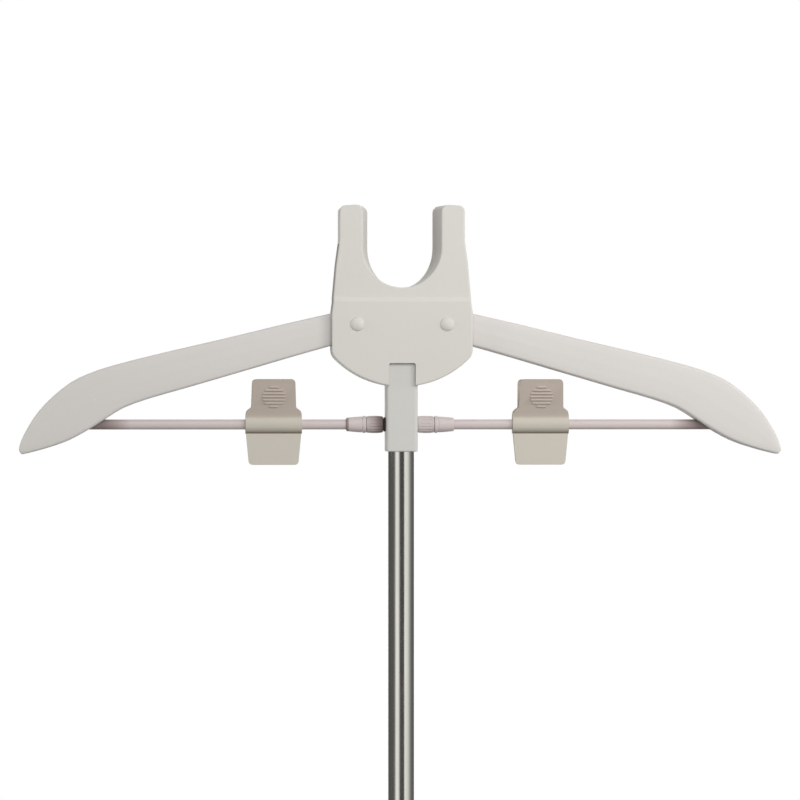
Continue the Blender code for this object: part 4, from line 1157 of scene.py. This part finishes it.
def pivot_washers():
    inner, outer = PIVOT_WASHER_BORE, PIVOT_WASHER_RADIUS
    back = PIVOT_WASHER_THICKNESS
    profile = [(0, inner), (0, outer), (back, outer), (back, inner)]
    at = (-PIVOT_X, ARM_BACK_Y + RUNNING_GAP, PIVOT_Z)
    washer = turned((0, 1, 0), at, profile, 64, True)
    pair_of_pivots(soften(washer, 0.00015), "washer", "stud_steel")


def screws():
    """One pan-head screw with a cross recess, copied to each of its places."""
    nodes = [f"head_screw_{n}" for n in range(1, 5)] + ["stem_screw_1", "stem_screw_2"]
    places = []
    for node in nodes:
        low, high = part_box(node)
        places.append(Vector(((low[0] + high[0]) / 2, 0, (low[2] + high[2]) / 2)))
    at = places[0] + Vector((0, REAR_Y + SEAT_GAP, 0))
    profile = list(SCREW_POINT)
    for k in range(SCREW_THREADS):
        for start, radius in (SCREW_ROOT, SCREW_CREST):
            profile.append((start + SCREW_PITCH * k, radius))
    screw = soften(turned((0, 1, 0), at, profile + list(SCREW_HEAD), 48), 0)
    for across, up in ((RECESS_LONG, RECESS_SHORT), (RECESS_SHORT, RECESS_LONG)):
        corners = [(-across, -up), (across, -up), (across, up), (-across, up)]
        outline = [at + Vector((x, RECESS_FLOOR, z)) for x, z in corners]
        shaped_by(screw, drawn(outline, (0, 0.003, 0)))
    soften(screw, 0)
    for node, place in list(zip(nodes, places))[1:]:
        dress(copied(screw, place - places[0]), node)
    dress(screw, nodes[0])


# Clips


def tab_ways():
    """The thumb tab's two directions as (across, up): along it, and from its front to its back."""
    up = Vector((-math.sin(TAB_LEAN), math.cos(TAB_LEAN)))
    inward = Vector((math.cos(TAB_LEAN), math.sin(TAB_LEAN)))
    return up, inward


def jaw_section():
    """The jaw seen from its side: plate, roll and leaning thumb tab in one closed line."""
    up, inward = tab_ways()
    root = Vector(TAB_ROOT)
    outer = root - inward * SHEET / 2
    inner = root + inward * SHEET / 2
    top = TAB_LENGTH + 0.0015
    foot = JAW_FOOT_Z - 0.0012
    points = [(JAW_BACK_Y, foot), (JAW_FRONT_Y, foot), (JAW_FRONT_Y, -0.00525), (-0.0019, -0.00490)]
    points += arc(ROLL_RADIUS, -60.5, 37, 26)
    roll_end = arc(ROLL_RADIUS, 38, 38, 1)[0]
    points += eased(roll_end, tuple(outer + up * 0.00075), tuple(outer + up * 0.0024))
    points += [tuple(outer + up * top), tuple(inner + up * top), tuple(inner)]
    points += arc(BORE_ON_BAR, 58, -74, 30)
    return points + [(JAW_BACK_Y, -0.0035)]


def tab_outline():
    """Half widths of the thumb tab by height, from its shoulders to its rounded top."""
    last = len(TAB_SHOULDER) - 1
    curve = []
    for i in range(last):
        before, start, end, after = [
            Vector(TAB_SHOULDER[min(max(i + j, 0), last)]) for j in (-1, 0, 1, 2)
        ]
        pull_out, pull_in = start + (end - before) / 6, end - (after - start) / 6
        curve += interpolate_bezier(start, pull_out, pull_in, end, 4)[:-1]
    half = [(point[1], point[0]) for point in curve] + [(0.01276, 0.0082)]
    half += eased(
        (0.01224, TAB_LENGTH - TAB_TOP_ROUND),
        (TAB_TOP_HALF, TAB_LENGTH),
        (TAB_TOP_HALF - TAB_TOP_ROUND, TAB_LENGTH),
        8,
    )
    return half


def front_jaw():
    """The left clip's front jaw, from which the other three are copied."""
    x = CLIP_X["left"]
    points = [(x - ROLL_HALF, y, BAR_Z + z) for y, z in jaw_section()]
    jaw = drawn(points, (2 * ROLL_HALF, 0, 0))
    up, inward = [Vector((0, *way)) for way in tab_ways()]
    root = Vector((x, TAB_ROOT[0], BAR_Z + TAB_ROOT[1]))
    wide = ROLL_HALF + 0.001

    # The tab's outline, trimmed square to the tab
    line = both_halves([(wide, -TRIM_DEPTH), (wide, -0.0001)] + tab_outline())
    behind = root - inward * (TRIM_DEPTH / 2)
    outline = [behind + up * height + Vector((across, 0, 0)) for across, height in line]
    shaped_by(jaw, drawn(outline, inward * TRIM_DEPTH), "INTERSECT")

    # The plate's outline, trimmed from the front
    half = [(wide, TRIM_DEPTH), (wide, JAW_SHOULDER_Z), (0.0159, JAW_SHOULDER_Z)]
    half += eased(
        (0.01438, JAW_FOOT_Z + JAW_FOOT_ROUND),
        (JAW_FOOT_HALF, JAW_FOOT_Z),
        (JAW_FOOT_HALF - JAW_FOOT_ROUND, JAW_FOOT_Z),
        8,
    )
    outline = [(x + across, -0.030, BAR_Z + height) for across, height in both_halves(half)]
    shaped_by(jaw, drawn(outline, (0, 0.060, 0)), "INTERSECT")

    soften(cleaned(jaw, 0.000005, 0.5), 0.0003, 3, 40)
    shaped_by(jaw, cross_rod(RELIEF_HALF, RELIEF_RADIUS, x))
    face = root - inward * SHEET / 2
    for k in range(-RIDGES_EACH_WAY, RIDGES_EACH_WAY + 1):
        rise = RIDGE_PITCH * k
        half_length = math.sqrt(RIDGE_PATCH**2 - rise**2)
        end = face + up * (RIDGE_MIDDLE + rise)
        points = [
            end + up * higher + inward * deeper - Vector((half_length, 0, 0))
            for higher, deeper in RIDGE_SECTION
        ]
        shaped_by(jaw, drawn(points, (2 * half_length, 0, 0)), "UNION")
    return soften(jaw, 0, weight=100)


def clip_pad(x):
    """A rubber pad with grooves across its gripping face."""
    back = JAW_BACK_Y + SEAT_GAP
    corners = [
        (-PAD_HALF, PAD_FOOT_Z),
        (PAD_HALF, PAD_FOOT_Z),
        (PAD_HALF, PAD_TOP_Z),
        (-PAD_HALF, PAD_TOP_Z),
    ]
    points = []
    for i, corner in enumerate(corners):
        corner = Vector(corner)
        before = corner + (Vector(corners[i - 1]) - corner).normalized() * PAD_ROUND
        after = corner + (Vector(corners[(i + 1) % 4]) - corner).normalized() * PAD_ROUND
        points += eased(before, corner, after, 6)
    outline = [(x + across, back, BAR_Z + height) for across, height in points]
    pad = soften(drawn(outline, (0, PAD_THICKNESS, 0)), 0.0002)
    y = back + PAD_GROOVE_CENTRE
    for k in range(PAD_GROOVES):
        z = BAR_Z + PAD_FOOT_Z + PAD_GROOVE_START + PAD_GROOVE_PITCH * k
        shaped_by(pad, cross_rod(PAD_GROOVE_HALF, PAD_GROOVE_RADIUS, x, y, z, 16))
    return soften(pad, 0)


def clip_spring(x):
    """The wire from the front leg's tip, round the bar, and up to the rear leg's tip."""
    up, inward = tab_ways()
    radius = BORE_ON_BAR + SPRING_WIRE
    start_x = x + SPRING_START
    root = Vector(TAB_ROOT) + inward * (SHEET / 2 + SPRING_OFF_TAB)
    tip = root + up * SPRING_LEG
    knee = Vector((root.x * 0.7, radius + (root.y - radius) * 0.5))
    leg = [tip, tip * 0.5 + root * 0.5, root, knee]
    points = [Vector((start_x, p.x, BAR_Z + p.y)) for p in leg]
    steps = SPRING_TURNS * SPRING_STEPS
    for k in range(steps + 1):
        turn = 2 * math.pi * k / SPRING_STEPS
        along = start_x + SPRING_LENGTH * k / steps
        points.append(Vector((along, radius * math.sin(turn), BAR_Z + radius * math.cos(turn))))
    points += [Vector((start_x + SPRING_LENGTH, -p.x, BAR_Z + p.y)) for p in reversed(leg)]
    deselect()
    bpy.ops.curve.primitive_nurbs_path_add()
    curve = bpy.context.object.data
    curve.splines.clear()
    line = curve.splines.new("POLY")
    line.points.add(len(points) - 1)
    for place, point in zip(line.points, points):
        place.co = (*point, 1)
    curve.bevel_depth = SPRING_WIRE
    curve.bevel_resolution = 3
    curve.use_fill_caps = True
    bpy.ops.object.convert(target="MESH")
    coil = bpy.context.object
    edit(coil)
    bpy.ops.mesh.select_all(action="SELECT")
    bpy.ops.mesh.remove_doubles(threshold=0.000001)
    return soften(settled(coil), 0)


def clip_bush(x):
    outer = BUSH_RADIUS
    profile = [(0, BORE_ON_BAR), (0, outer), (BUSH_LENGTH, outer), (BUSH_LENGTH, BORE_ON_BAR)]
    at = (x - RELIEF_HALF + RUNNING_GAP, 0, BAR_Z)
    return soften(turned((1, 0, 0), at, profile, 64, True), 0.0002)


def twist_spring(clip):
    """Bakes the spring's place into its own mesh."""
    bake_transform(bpy.data.objects[clip + "_spring_skin"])


def clips():
    """The left clip, with rear pieces mirrored from its front ones, and its copy on the right."""
    x = CLIP_X["left"]
    made = {
        "clip_front_jaw": front_jaw(),
        "clip_front_pad": clip_pad(x),
        "clip_spring": clip_spring(x),
        "clip_bush": clip_bush(x),
    }
    for kind in ("jaw", "pad"):
        rear = copied(made[f"clip_front_{kind}"], mirror=(1, -1, 1))
        made[f"clip_rear_{kind}"] = soften(rear, 0, weight=100)
    step = (CLIP_X["right"] - x, 0, 0)
    for kind, piece in made.items():
        dress(copied(piece, step), "right_" + kind)
        dress(piece, "left_" + kind)
    for name, _ in SIDES:
        twist_spring(name + "_clip")


# The hanger, piece by piece

place_camera()
studio()
finishes = make_finishes()
pole_tube()
pole_end_plug()
stem()
cross_stud()
neck_washer()
for name, side in SIDES:
    bar_nut(name, side)
    bar_sleeve(name, side)
    bar(name, side)
    bar_cap(name, side)
pivot_rivets()
pivot_washers()
screws()
clips()
for node in ("head_front_cover", "head_rear_cover"):
    head_cover(node)
for node in ("left_arm", "right_arm"):
    arm(node)
